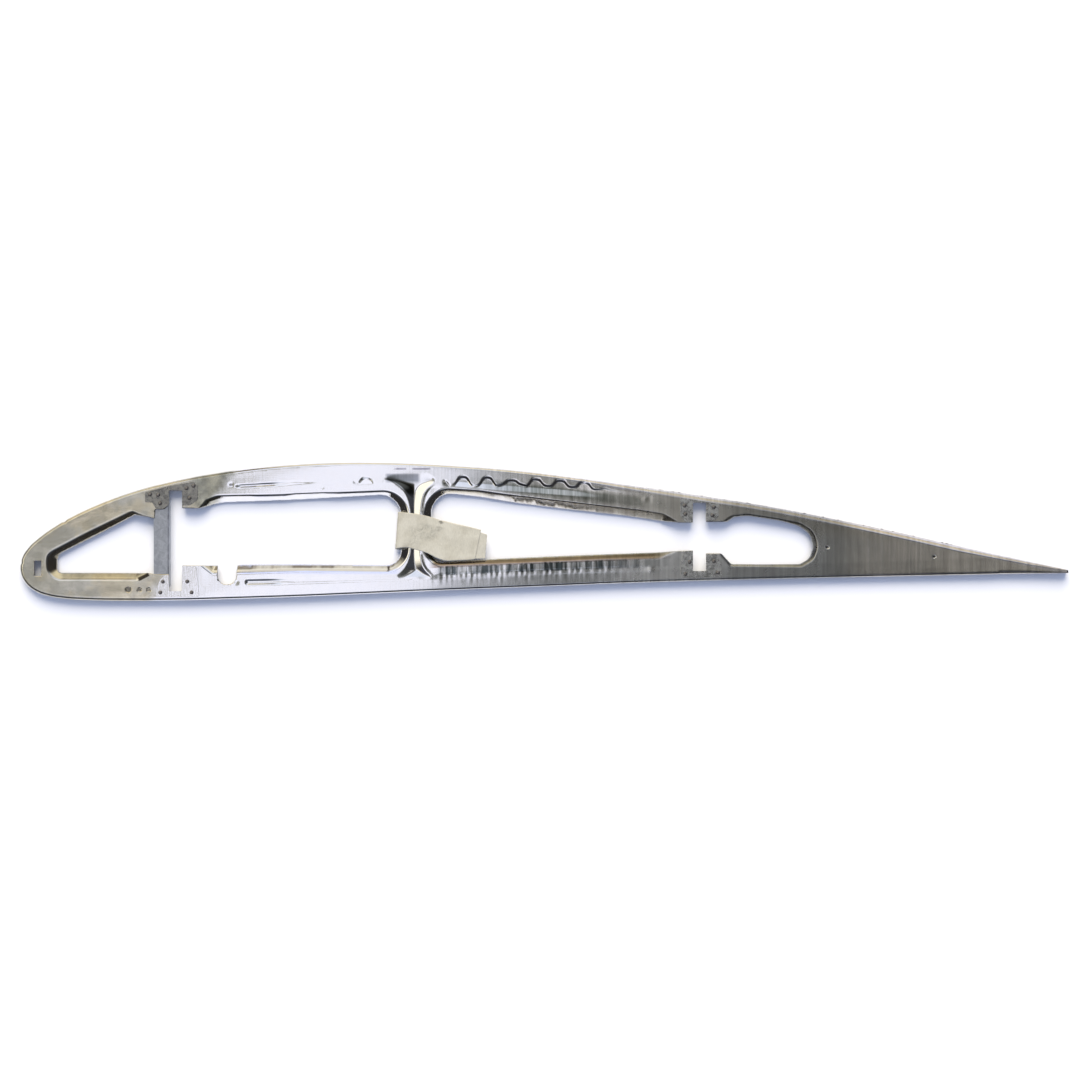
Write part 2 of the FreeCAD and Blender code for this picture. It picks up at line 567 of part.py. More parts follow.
# --------------------------------------------------------------- front post
# Angle section riveted behind the web, one leg beside the front spar slot.
post = doc.addObject("PartDesign::Body", "front_post")
post.Label = "front_post"
psk = post.newObject("Sketcher::SketchObject", "front_post_section")
psk.AttachmentSupport = [(origin_plane(post, "XZ_Plane"), "")]
psk.MapMode = "FlatFace"
leg, dep, pt = dim("post_leg"), dim("post_depth"), dim("post_gauge")
corners = [(0, 0), (-leg, 0), (-leg, -pt), (-pt, -pt), (-pt, -dep), (0, -dep)]
for i in range(6):
    a, b2 = corners[i], corners[(i + 1) % 6]
    psk.addGeometry(Part.LineSegment(V(a[0], a[1], 0), V(b2[0], b2[1], 0)), False)
for i in range(6):
    psk.addConstraint(Sketcher.Constraint("Coincident", i, 2, (i + 1) % 6, 1))
for i in (0, 2, 4):
    psk.addConstraint(Sketcher.Constraint("Horizontal", i))
for i in (1, 3, 5):
    psk.addConstraint(Sketcher.Constraint("Vertical", i))
psk.addConstraint(Sketcher.Constraint("Coincident", 0, 1, -1, 1))
for gi, value, cell in ((0, leg, "post_leg"), (1, pt, "post_gauge"), (4, pt, "post_gauge"), (5, dep, "post_depth")):
    ci = psk.addConstraint(Sketcher.Constraint("Distance", gi, value))
    psk.setExpression("Constraints[%d]" % ci, "dims." + cell)
ppad = post.newObject("PartDesign::Pad", "front_post_pad")
ppad.Profile = psk
ppad.Length = (585.6 - 499.3) * GRID
ppad.Midplane = True
doc.recompute()
pvol = ppad.Shape.Volume
phs = post.newObject("Sketcher::SketchObject", "front_post_holes")
phs.AttachmentSupport = [(origin_plane(post, "XY_Plane"), "")]
phs.MapMode = "FlatFace"
post_origin = (fx0 - 0.02, (g(0, 585.6)[1] + g(0, 499.3)[1]) / 2)
for x, y in RIVETS["front_post_rivets"]:
    px, py = g(x, y)
    k = phs.addGeometry(Part.Circle(V(px - post_origin[0], py - post_origin[1], 0), V(0, 0, 1), dim("rivet_dia") / 2), False)
    ci = phs.addConstraint(Sketcher.Constraint("Radius", k, dim("rivet_dia") / 2))
    phs.setExpression("Constraints[%d]" % ci, "dims.rivet_dia / 2")
ppocket = post.newObject("PartDesign::Pocket", "front_post_rivet_holes")
ppocket.Profile = phs
ppocket.Type = 1
ppocket.Midplane = True
doc.recompute()
post.Tip = ppocket
doc.recompute()
if not ppocket.Shape.Volume < pvol - 1.0:
    raise RuntimeError("front_post: rivet holes cut nothing")
post.Placement = FreeCAD.Placement(V(post_origin[0], post_origin[1], TOP - GAUGE), FreeCAD.Rotation())
nodes["front_post"] = post


# ------------------------------------------------------------- rivet groups
def rivet(name, x, y, z_top, z_bottom):
    """Domed head above z_top, shank, and a bucked tail below z_bottom."""
    hr, hh = dim("rivet_head_dia") / 2, dim("rivet_head_height")
    ball = (hr * hr + hh * hh) / (2 * hh)
    lat = math.degrees(math.asin((ball - hh) / ball))
    head = doc.addObject("Part::Sphere", name + "_head")
    head.setExpression("Radius", "(pow(dims.rivet_head_dia / 2; 2) + pow(dims.rivet_head_height; 2)) / (2 * dims.rivet_head_height)")
    head.Angle1 = lat
    head.Angle2 = 90
    head.Placement = FreeCAD.Placement(V(x, y, z_top - (ball - hh)), FreeCAD.Rotation())
    shank = doc.addObject("Part::Cylinder", name + "_shank")
    shank.setExpression("Radius", "dims.rivet_dia / 2")
    shank.Height = z_top - z_bottom
    shank.Placement = FreeCAD.Placement(V(x, y, z_bottom), FreeCAD.Rotation())
    tail = doc.addObject("Part::Cylinder", name + "_tail")
    tail.setExpression("Radius", "dims.rivet_tail_dia / 2")
    tail.setExpression("Height", "dims.rivet_tail_height")
    tail.Placement = FreeCAD.Placement(V(x, y, z_bottom - dim("rivet_tail_height")), FreeCAD.Rotation())
    whole = doc.addObject("Part::MultiFuse", name)
    whole.Shapes = [head, shank, tail]
    return whole


for group, places in RIVETS.items():
    members = []
    for i, (x, y) in enumerate(places):
        px, py = g(x, y)
        low = TOP - GAUGE - (dim("post_gauge") if group == "front_post_rivets" else 0.0)
        members.append(rivet("%s_%d" % (group, i), px, py, TOP + dim("doubler_gauge"), low))
    comp = doc.addObject("Part::Compound", group)
    comp.Links = members
    comp.Label = group
    nodes[group] = comp

# --------------------------------------------------------------- tape label
# Two-inch masking tape wound once round the post between the bays, its free
# end standing out over the rear bay.
tz1 = TOP + dim("tape_gap")
tt = dim("tape_gauge")
ring_out = ccw([(397.8, 511.9), (437.0, 518.6), (437.6, 558.0), (426.0, 552.8), (413.7, 549.2), (394.9, 548.9)])
ring_in = ccw([(398.3, 505.0), (436.6, 505.0), (437.2, 566.0), (395.1, 566.0)])
tape_outer = add("tape_outer", prism(ring_out, 1.2, tz1 + tt))
tape_inner = add("tape_inner", prism(ring_in, 1.2 + tt, tz1))
tape_ring = doc.addObject("Part::Cut", "tape_ring")
tape_ring.Base, tape_ring.Tool = tape_outer, tape_inner
tape_tail = add("tape_tail", prism(ccw([
    (436.8, 518.6), (443.5, 520.7), (481.0, 530.2), (475.2, 559.9), (445.0, 560.8), (437.4, 557.9)]), tz1, tz1 + tt))
tape = doc.addObject("Part::Fuse", "masking_tape_label")
tape.Base, tape.Tool = tape_ring, tape_tail
tape.Label = "masking_tape_label"
nodes["masking_tape_label"] = tape

# -------------------------------------------------------- checks and output
doc.recompute()
bad = [o.Name for o in doc.Objects if "Invalid" in o.State or "Error" in o.State]
if bad:
    raise RuntimeError("failed objects: " + ", ".join(bad))
for label, obj in nodes.items():
    s = obj.Shape
    if s.isNull() or not s.isValid():
        raise RuntimeError(label + " has no valid shape")
    print(label, "solids", len(s.Solids), "faces", len(s.Faces), "volume %.1f" % s.Volume,
          "box", [round(v, 2) for v in (s.BoundBox.XMin, s.BoundBox.YMin, s.BoundBox.ZMin,
                                        s.BoundBox.XMax, s.BoundBox.YMax, s.BoundBox.ZMax)])
if len(rib.Shape.Solids) != 1:
    raise RuntimeError("rib_pressing is not one solid")
os.makedirs("parts", exist_ok=True)
for label, obj in nodes.items():
    obj.Shape.exportStep("parts/%s.step" % label)
print("wrote", len(nodes), "parts")
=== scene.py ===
import math

import bmesh
import bpy
import numpy as np
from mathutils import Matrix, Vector, geometry


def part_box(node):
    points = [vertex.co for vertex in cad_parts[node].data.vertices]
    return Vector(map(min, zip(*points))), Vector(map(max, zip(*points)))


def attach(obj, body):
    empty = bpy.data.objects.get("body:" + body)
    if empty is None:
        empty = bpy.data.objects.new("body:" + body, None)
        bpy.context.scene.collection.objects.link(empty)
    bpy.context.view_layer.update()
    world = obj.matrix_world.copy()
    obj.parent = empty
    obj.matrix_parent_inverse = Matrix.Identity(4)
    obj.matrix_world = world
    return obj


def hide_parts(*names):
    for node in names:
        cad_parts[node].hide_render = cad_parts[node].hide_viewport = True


# A pressed aluminium wing rib lying on a pale floor, seen from straight above.
# Template grid units are those of the contour below: +x to the tail, y down.

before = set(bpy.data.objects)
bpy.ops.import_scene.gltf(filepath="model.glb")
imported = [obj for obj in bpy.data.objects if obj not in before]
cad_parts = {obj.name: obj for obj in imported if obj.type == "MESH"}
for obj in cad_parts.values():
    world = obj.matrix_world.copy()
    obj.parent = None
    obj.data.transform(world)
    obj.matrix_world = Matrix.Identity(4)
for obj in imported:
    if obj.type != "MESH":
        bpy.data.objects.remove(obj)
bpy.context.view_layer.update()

GRID = 1.4528
GX0, GY0 = 544.0, 531.44
TOP = 16.0
GAUGE = 0.8
RNG = np.random.default_rng(7)


def g(x, y):
    return ((x - GX0) * GRID, (GY0 - y) * GRID)


def gxy(a):
    a = np.asarray(a, float)
    return np.stack([(a[:, 0] - GX0) * GRID, (GY0 - a[:, 1]) * GRID], 1)


def to_grid(p):
    return p[:, 0] / GRID + GX0, GY0 - p[:, 1] / GRID


def smooth(x, a, b):
    t = np.clip((x - a) / (b - a), 0, 1)
    return t * t * (3 - 2 * t)


# ------------------------------------------------------------------ outlines
CONTOUR = [
    (1068.4, 569.95), (1042, 564.3), (1020, 559.6), (956, 545.6), (892, 531.2), (828, 517.9), (764, 505.7), (700, 495.7),
    (636, 486.2), (572, 477.1), (508, 469.6), (444, 464.7), (380, 462.1), (320, 462.7),
    (268, 466.2), (220, 472.5), (172, 481.3), (132, 491.7), (100, 503.4), (76, 514.2),
    (56, 525.3), (40, 536.4), (28, 547.2), (21.5, 557.2), (19.5, 567.0), (21.5, 577.5),
    (27.5, 586.2), (37, 592.7), (49, 596.6), (64, 598.9), (90, 600.4), (130, 600.9),
    (180, 600.6), (240, 599.0), (300, 597.0), (360, 594.4), (440, 590.9), (540, 586.9),
    (640, 582.9), (732, 580.2), (828, 578.0), (924, 576.0), (1004, 574.4), (1042, 573.7), (1068.4, 573.2)]
FRONT_WINDOW = [
    (169.05, 490.5, 0.8), (169.05, 505.0, 4.0), (164.0, 509.3, 4.5), (155.4, 509.3, 1.5),
    (154.4, 518.6, 0.8), (146.5, 516.6, 4.0), (134.3, 514.8, 2.0), (99.0, 533.4, 60.0),
    (56.0, 555.2, 9.0), (56.0, 572.8, 5.0), (149.4, 573.0, 4.0), (155.0, 574.2, 2.0),
    (169.05, 574.2, 0.5), (169.05, 591.0, 0.8), (182.15, 591.0, 0.8), (182.15, 565.4, 1.0),
    (199.0, 565.5, 2.0), (217.5, 565.2, 1.2), (217.5, 584.5, 9.4), (236.5, 584.5, 9.4), (236.5, 564.7, 1.2),
    (300.0, 564.4, 200.0), (400.8, 565.6, 15.0),
    (399.9, 493.8, 20.0), (300.0, 499.6, 200.0), (220.0, 502.6, 60.0), (199.0, 508.3, 3.0),
    (182.15, 508.3, 1.0), (182.15, 490.5, 0.8)]
AFT_WINDOW = [
    (431.2, 492.6, 19.0), (454.0, 494.0, 40.0), (480.0, 497.0, 80.0), (518.0, 503.2, 150.0), (563.0, 508.7, 300.0),
    (624.0, 515.4, 300.0), (662.0, 521.0, 60.0), (680.0, 522.6, 3.0), (692.95, 522.6, 0.5),
    (692.95, 502.7, 0.8), (706.05, 502.7, 0.8), (706.05, 521.8, 0.5), (727.4, 521.8, 2.0),
    (734.0, 517.0, 5.0), (748.0, 515.7, 20.0), (780.0, 520.6, 60.0), (799.0, 525.6, 26.0),
    (810.4, 534.2, 15.0), (813.4, 547.0, 15.0), (810.0, 558.4, 12.0), (800.0, 564.2, 9.0), (762.5, 564.4, 150.0),
    (731.5, 564.2, 5.0), (721.6, 553.4, 3.0), (706.05, 553.4, 0.5), (706.05, 571.0, 0.8),
    (692.95, 571.0, 0.8), (692.95, 550.4, 0.5), (682.0, 550.7, 2.0), (656.0, 552.6, 80.0),
    (580.0, 555.2, 200.0), (500.0, 558.6, 200.0), (445.0, 562.4, 60.0), (431.8, 563.0, 11.0)]
NOSE_BEND = [
    (131.2, 509.2, 6.0), (149.5, 517.0, 2.0), (158.0, 522.0, 2.0), (158.0, 570.0, 2.0), (153.0, 571.0, 2.0),
    (136.8, 581.6, 3.0), (45.2, 581.6, 17.0), (45.2, 552.6, 14.0), (84.2, 531.9, 50.0)]
MID_BEND = [
    (196.0, 510.4, 2.0), (206.0, 498.4, 8.0), (216.5, 494.6, 15.0), (300.0, 492.8, 200.0),
    (409.2, 488.2, 27.0), (410.4, 574.0, 26.0), (300.0, 572.8, 200.0), (211.5, 575.3, 5.0), (196.0, 563.3, 2.0)]
AFT_BEND = [
    (422.6, 485.4, 27.0), (480.0, 488.9, 90.0), (518.0, 494.9, 150.0), (563.0, 500.3, 300.0),
    (641.0, 509.4, 200.0), (664.5, 513.4, 15.0), (684.5, 525.0, 2.0), (688.0, 530.0, 2.0),
    (688.0, 547.9, 2.0), (658.5, 560.4, 14.0), (605.0, 561.2, 200.0), (512.0, 565.3, 200.0),
    (446.0, 567.6, 80.0), (422.6, 569.4, 20.0)]
REAR_BEND = [
    (716.0, 526.0, 2.0), (731.2, 515.0, 7.0), (748.0, 512.9, 20.0), (780.0, 517.8, 60.0),
    (800.0, 521.6, 28.0), (813.8, 530.0, 19.0), (819.4, 546.0, 19.0), (814.4, 560.6, 15.0), (801.5, 568.0, 10.0),
    (762.0, 567.4, 150.0), (730.2, 567.2, 6.0), (716.0, 550.5, 2.0)]
UPPER_BEAD = [(236, 484.2), (300, 480.2), (380, 476.2), (424, 477.4), (480, 482.6), (580, 490.2), (642, 498.2)]
LOWER_BEAD = [(248, 582.2), (300, 581.2), (440, 576.8), (520, 572.6), (620, 568.9), (648, 568.9)]
# Recess down the post: forward margin, top, after margin and bottom, each line with its own slope.
VALLEY_FRONT = [(390.0, 579.0), (396.0, 576.6), (402.5, 572.5), (408.0, 565.5), (411.0, 556.5), (411.6, 545.0), (411.4, 515.0),
                (410.2, 503.0), (406.6, 493.0), (400.5, 486.0), (393.0, 481.4), (386.0, 479.4), (384.0, 478.3)]
VALLEY_TOP = [(384.0, 478.3), (386.5, 475.8), (393.0, 473.4), (402.0, 472.4), (412.0, 471.6), (424.0, 471.4), (432.0, 474.0),
              (436.6, 478.0), (436.0, 481.4)]
VALLEY_WALL = [(414.6, 468.0), (414.4, 478.0), (413.9, 488.0), (413.7, 497.0), (414.0, 508.0), (414.2, 545.0), (414.2, 560.0),
               (414.8, 568.0), (416.0, 575.0), (417.0, 582.0)]
VALLEY_AFT = [(436.0, 481.4), (433.4, 483.8), (428.8, 485.6), (425.2, 488.4), (422.6, 492.4), (421.2, 499.0), (420.2, 507.0),
              (419.6, 520.0), (419.4, 553.0), (419.6, 561.0), (421.6, 567.0), (426.0, 573.0), (433.0, 577.2)]
VALLEY_BOTTOM = [(433.0, 577.2), (432.0, 579.6), (424.0, 580.2), (416.0, 579.4), (406.0, 580.6), (396.0, 580.4), (390.0, 579.0)]
HOLES = [(128.3, 589.6, 3.8), (139.3, 589.6, 2.5), (148.6, 589.6, 2.5), (827.6, 547.3, 1.6), (934.5, 556.6, 1.6)]
RIVETS = {
    "front_upper_doubler_rivets": [(150, 494.4), (158.2, 494.8), (186.6, 488.2), (189.5, 498.0), (193.6, 485.8)],
    "front_lower_doubler_rivets": [(160.4, 592.4), (187.4, 581.5), (191.6, 592.4)],
    "rear_upper_doubler_rivets": [(684.6, 505.6), (685.3, 514.2), (713.8, 507.0), (712.4, 515.2)],
    "rear_lower_doubler_rivets": [(689.6, 562.0), (685.5, 574.0), (713.8, 561.3), (718.0, 572.6)],
    "front_post_rivets": [(160.2, 503.4), (163.0, 581.6)]}
DOUBLERS = {
    "front_upper_doubler": [
        (145, 492.4, 1.5), (169, 486.1, 20), (193.4, 481.9, 3), (197.9, 485.5, 3), (197.9, 500, 5), (190, 505.4, 4),
        (182.15, 505.4, .5), (182.15, 490.5, .6), (169.05, 490.5, .6), (169.05, 504.8, 3.6), (163.6, 508.7, 4.5),
        (155.9, 508.7, 3), (152.4, 502.6, 2), (145, 502.2, 1.5)],
    "front_lower_doubler": [
        (155.9, 596.9, 1), (156.6, 589, 4), (160.2, 579.4, 3), (165, 575, 2), (169.05, 575, .5), (169.05, 591, .6),
        (182.15, 591, .6), (182.15, 566, .6), (196.4, 566.1, 3), (197.6, 581, 6), (199.4, 596.6, 1.5)],
    "rear_upper_doubler": [
        (680.2, 497.6, 1.5), (718.6, 503.6, 1.5), (718.6, 517, 4), (713.4, 521.2, 3), (706.05, 521.2, .5),
        (706.05, 502.7, .6), (692.95, 502.7, .6), (692.95, 522, .5), (684.8, 522, 2), (680.2, 515.4, 3)],
    "rear_lower_doubler": [
        (684.6, 551.2, 1), (692.95, 551, .5), (692.95, 571, .6), (706.05, 571, .6), (706.05, 554, .5),
        (716.6, 554, 2), (721.4, 564, 8), (721.8, 576.6, 1.5), (680.6, 577.4, 1.5), (680.9, 560, 3)]}


def rounded(pts, step=1.2, arc=0.7):
    """Grid polygon (x, y, radius) to a closed anticlockwise line in mm."""
    q = [(*g(p[0], p[1]), p[2] * GRID) for p in pts]
    area = sum(q[i][0] * q[(i + 1) % len(q)][1] - q[(i + 1) % len(q)][0] * q[i][1] for i in range(len(q)))
    if area < 0:
        q = q[::-1]
    n = len(q)
    tang, need, turn = [], [], []
    for i in range(n):
        a, b = q[i], q[(i + 1) % n]
        L = math.dist(a[:2], b[:2])
        tang.append(((b[0] - a[0]) / L, (b[1] - a[1]) / L))
    for i in range(n):
        t0, t1 = tang[i - 1], tang[i]
        ang = math.atan2(t0[0] * t1[1] - t0[1] * t1[0], t0[0] * t1[0] + t0[1] * t1[1])
        turn.append(ang)
        need.append(q[i][2] * math.tan(abs(ang) / 2))
    for i in range(n):
        j = (i + 1) % n
        L = math.dist(q[i][:2], q[j][:2])
        if need[i] + need[j] > L * 0.98:
            k = L * 0.98 / (need[i] + need[j])
            need[i] *= k
            need[j] *= k
    out = []
    for i in range(n):
        t0, t1 = tang[i - 1], tang[i]
        c, w, ang = q[i], need[i], turn[i]
        a = (c[0] - t0[0] * w, c[1] - t0[1] * w)
        if out:
            p = out[-1]
            L = math.dist(p, a)
            k = max(1, int(round(L / step)))
            out += [(p[0] + (a[0] - p[0]) * s / k, p[1] + (a[1] - p[1]) * s / k) for s in range(1, k)]
        out.append(a)
        if abs(ang) > 1e-4 and w > 1e-4:
            r = w / math.tan(abs(ang) / 2)
            k = max(1, int(math.ceil(max(r * abs(ang) / arc / 1.6, abs(ang) / 0.45))))
            for s in range(1, k + 1):
                f = ang * s / k
                chord = 2 * r * math.sin(abs(f) / 2)
                d = math.atan2(t0[1], t0[0]) + f / 2
                out.append((a[0] + math.cos(d) * chord, a[1] + math.sin(d) * chord))
    p, a = out[-1], out[0]
    L = math.dist(p, a)
    k = max(1, int(round(L / step)))
    out += [(p[0] + (a[0] - p[0]) * s / k, p[1] + (a[1] - p[1]) * s / k) for s in range(1, k)]
    return np.array(out)


def contour_line(step=2.2):
    """The contour as tangent arcs: points, left normals, in mm."""
    st = [g(x, y) for x, y in CONTOUR]
    n = len(st)

    def unit(a):
        m = math.hypot(*a)
        return (a[0] / m, a[1] / m)

    def ct(a, b, c):
        u = (b[0] - a[0], b[1] - a[1])
        w = (c[0] - b[0], c[1] - b[1])
        lu, lw = math.hypot(*u), math.hypot(*w)
        return unit((u[0] / lu * lw + w[0] / lw * lu, u[1] / lu * lw + w[1] / lw * lu))

    tan = []
    for i in range(n):
        if 0 < i < n - 1:
            tan.append(ct(st[i - 1], st[i], st[i + 1]))
        else:
            b, c, e = (st[0], st[1], st[2]) if i == 0 else (st[-2], st[-1], st[-3])
            m = ct(b, c, e) if i == 0 else ct(e, b, c)
            d = unit((c[0] - b[0], c[1] - b[1]))
            k = 2 * (m[0] * d[0] + m[1] * d[1])
            tan.append(unit((k * d[0] - m[0], k * d[1] - m[1])))
    segs = []
    for i in range(n - 1):
        p, q, t0, t1 = st[i], st[i + 1], tan[i], tan[i + 1]
        v = (q[0] - p[0], q[1] - p[1])
        t = (t0[0] + t1[0], t0[1] + t1[1])
        vt, vv = v[0] * t[0] + v[1] * t[1], v[0] ** 2 + v[1] ** 2
        k = 2 * (1 - (t0[0] * t1[0] + t0[1] * t1[1]))
        d = vv / (2 * vt) if abs(k) < 1e-9 else (-vt + math.sqrt(vt * vt + k * vv)) / k
        j = ((p[0] + q[0] + d * (t0[0] - t1[0])) / 2, (p[1] + q[1] + d * (t0[1] - t1[1])) / 2)
        tj = unit((j[0] - p[0] - d * t0[0], j[1] - p[1] - d * t0[1]))
        segs += [(p, t0, j), (j, tj, q)]
    pts, nor = [], []
    for p, t0, q in segs:
        c = (q[0] - p[0], q[1] - p[1])
        L = math.hypot(*c)
        half = math.atan2(t0[0] * c[1] - t0[1] * c[0], t0[0] * c[0] + t0[1] * c[1])
        k = max(1, int(math.ceil(max(L / step, abs(half) * 2 / 0.07))))
        for s in range(k):
            f = half * s / k
            ch = L * s / k if abs(half) < 1e-6 else L / math.sin(half) * math.sin(f)
            d = math.atan2(t0[1], t0[0]) + f
            pts.append((p[0] + math.cos(d) * ch, p[1] + math.sin(d) * ch))
            d = math.atan2(t0[1], t0[0]) + 2 * f
            nor.append((-math.sin(d), math.cos(d)))
    pts.append(st[-1])
    nor.append((-tan[-1][1], tan[-1][0]))
    return np.array(pts), np.array(nor)


# --------------------------------------------------------- plane measurements
def dist_line(p, line, closed=True):
    """Distance of points p from a line, and the way to its nearest point."""
    a = line
    b = np.roll(line, -1, 0) if closed else line[1:]
    a = a if closed else line[:-1]
    best = np.full(len(p), 1e9)
    vec = np.zeros((len(p), 2))
    at = np.zeros(len(p))
    ab = b - a
    ll = np.maximum((ab ** 2).sum(1), 1e-12)
    run = np.concatenate([[0], np.cumsum(np.sqrt(ll))])[:-1]
    for i in range(len(a)):
        w = p - a[i]
        t = np.clip((w @ ab[i]) / ll[i], 0, 1)
        d = w - t[:, None] * ab[i]
        dd = (d ** 2).sum(1)
        m = dd < best
        best[m] = dd[m]
        vec[m] = d[m]
        at[m] = run[i] + t[m] * math.sqrt(ll[i])
    return np.sqrt(best), vec, at


def inside(p, line):
    x, y = p[:, 0], p[:, 1]
    a, b = line, np.roll(line, -1, 0)
    odd = np.zeros(len(p), bool)
    for (x0, y0), (x1, y1) in zip(a, b):
        if y0 == y1:
            continue
        m = (y0 > y) != (y1 > y)
        if m.any():
            xi = x0 + (y - y0) * (x1 - x0) / (y1 - y0)
            odd ^= m & (x < xi)
    return odd


def near_box(p, line, pad):
    lo, hi = line.min(0) - pad, line.max(0) + pad
    return (p[:, 0] > lo[0]) & (p[:, 0] < hi[0]) & (p[:, 1] > lo[1]) & (p[:, 1] < hi[1])


BENDS = [rounded(b, 1.5, 0.8) for b in (NOSE_BEND, MID_BEND, AFT_BEND, REAR_BEND)]
BEAD_U = gxy(UPPER_BEAD)
BEAD_L = gxy(LOWER_BEAD)


def interp_line(line, n=160):
    """A smooth line through a few points."""
    d = np.concatenate([[0], np.cumsum(np.hypot(*np.diff(line, axis=0).T))])
    t = np.linspace(0, d[-1], n)
    out = np.stack([np.interp(t, d, line[:, 0]), np.interp(t, d, line[:, 1])], 1)
    for _ in range(30):
        out[1:-1] = (out[:-2] + 2 * out[1:-1] + out[2:]) / 4
    return out


BEAD_U, BEAD_L = interp_line(BEAD_U), interp_line(BEAD_L)
BEAD_UX, BEAD_UY = to_grid(BEAD_U)
V_FRONT, V_TOP, V_WALL, V_AFT, V_BOTTOM = (interp_line(gxy(v), 60) for v in (VALLEY_FRONT, VALLEY_TOP, VALLEY_WALL, VALLEY_AFT, VALLEY_BOTTOM))
VALLEY = np.vstack([V_FRONT[:-1], V_TOP[:-1], V_AFT[:-1], V_BOTTOM[:-1]])
PLATED = ((145, 199, 480, 598), (680, 722, 497, 578))


def wave_edge(x):
    """Upper edge of the bead: crests and hollows left between the flutes."""
    base = np.interp(x, [350, 384, 440, 470, 500, 540, 580, 620, 650], [481.2, 481.2, 480.6, 481.6, 482.2, 482.8, 484.6, 491.5, 496.0])
    ph = 2 * np.pi * (x - 463.0) / 24.3
    w = np.tanh(1.5 * np.cos(ph)) / np.tanh(1.5)
    a = 4.4 * smooth(x, 443, 451) * (1 - 0.55 * smooth(x, 492, 506) * (1 - smooth(x, 520, 530))) * (1 - 0.35 * smooth(x, 520, 545)) * (1 - smooth(x, 588, 612))
    fore = np.where(x < 400, 3.2 * np.tanh(1.6 * np.cos(2 * np.pi * (x - 366.0) / 23.0)) * smooth(x, 352, 362), 0)
    return base - w * a * (x > 400) - fore


WAVES = [(RNG.uniform(0, 6.283), RNG.uniform(0.6, 1.4), RNG.uniform(0, 6.283)) for _ in range(24)]


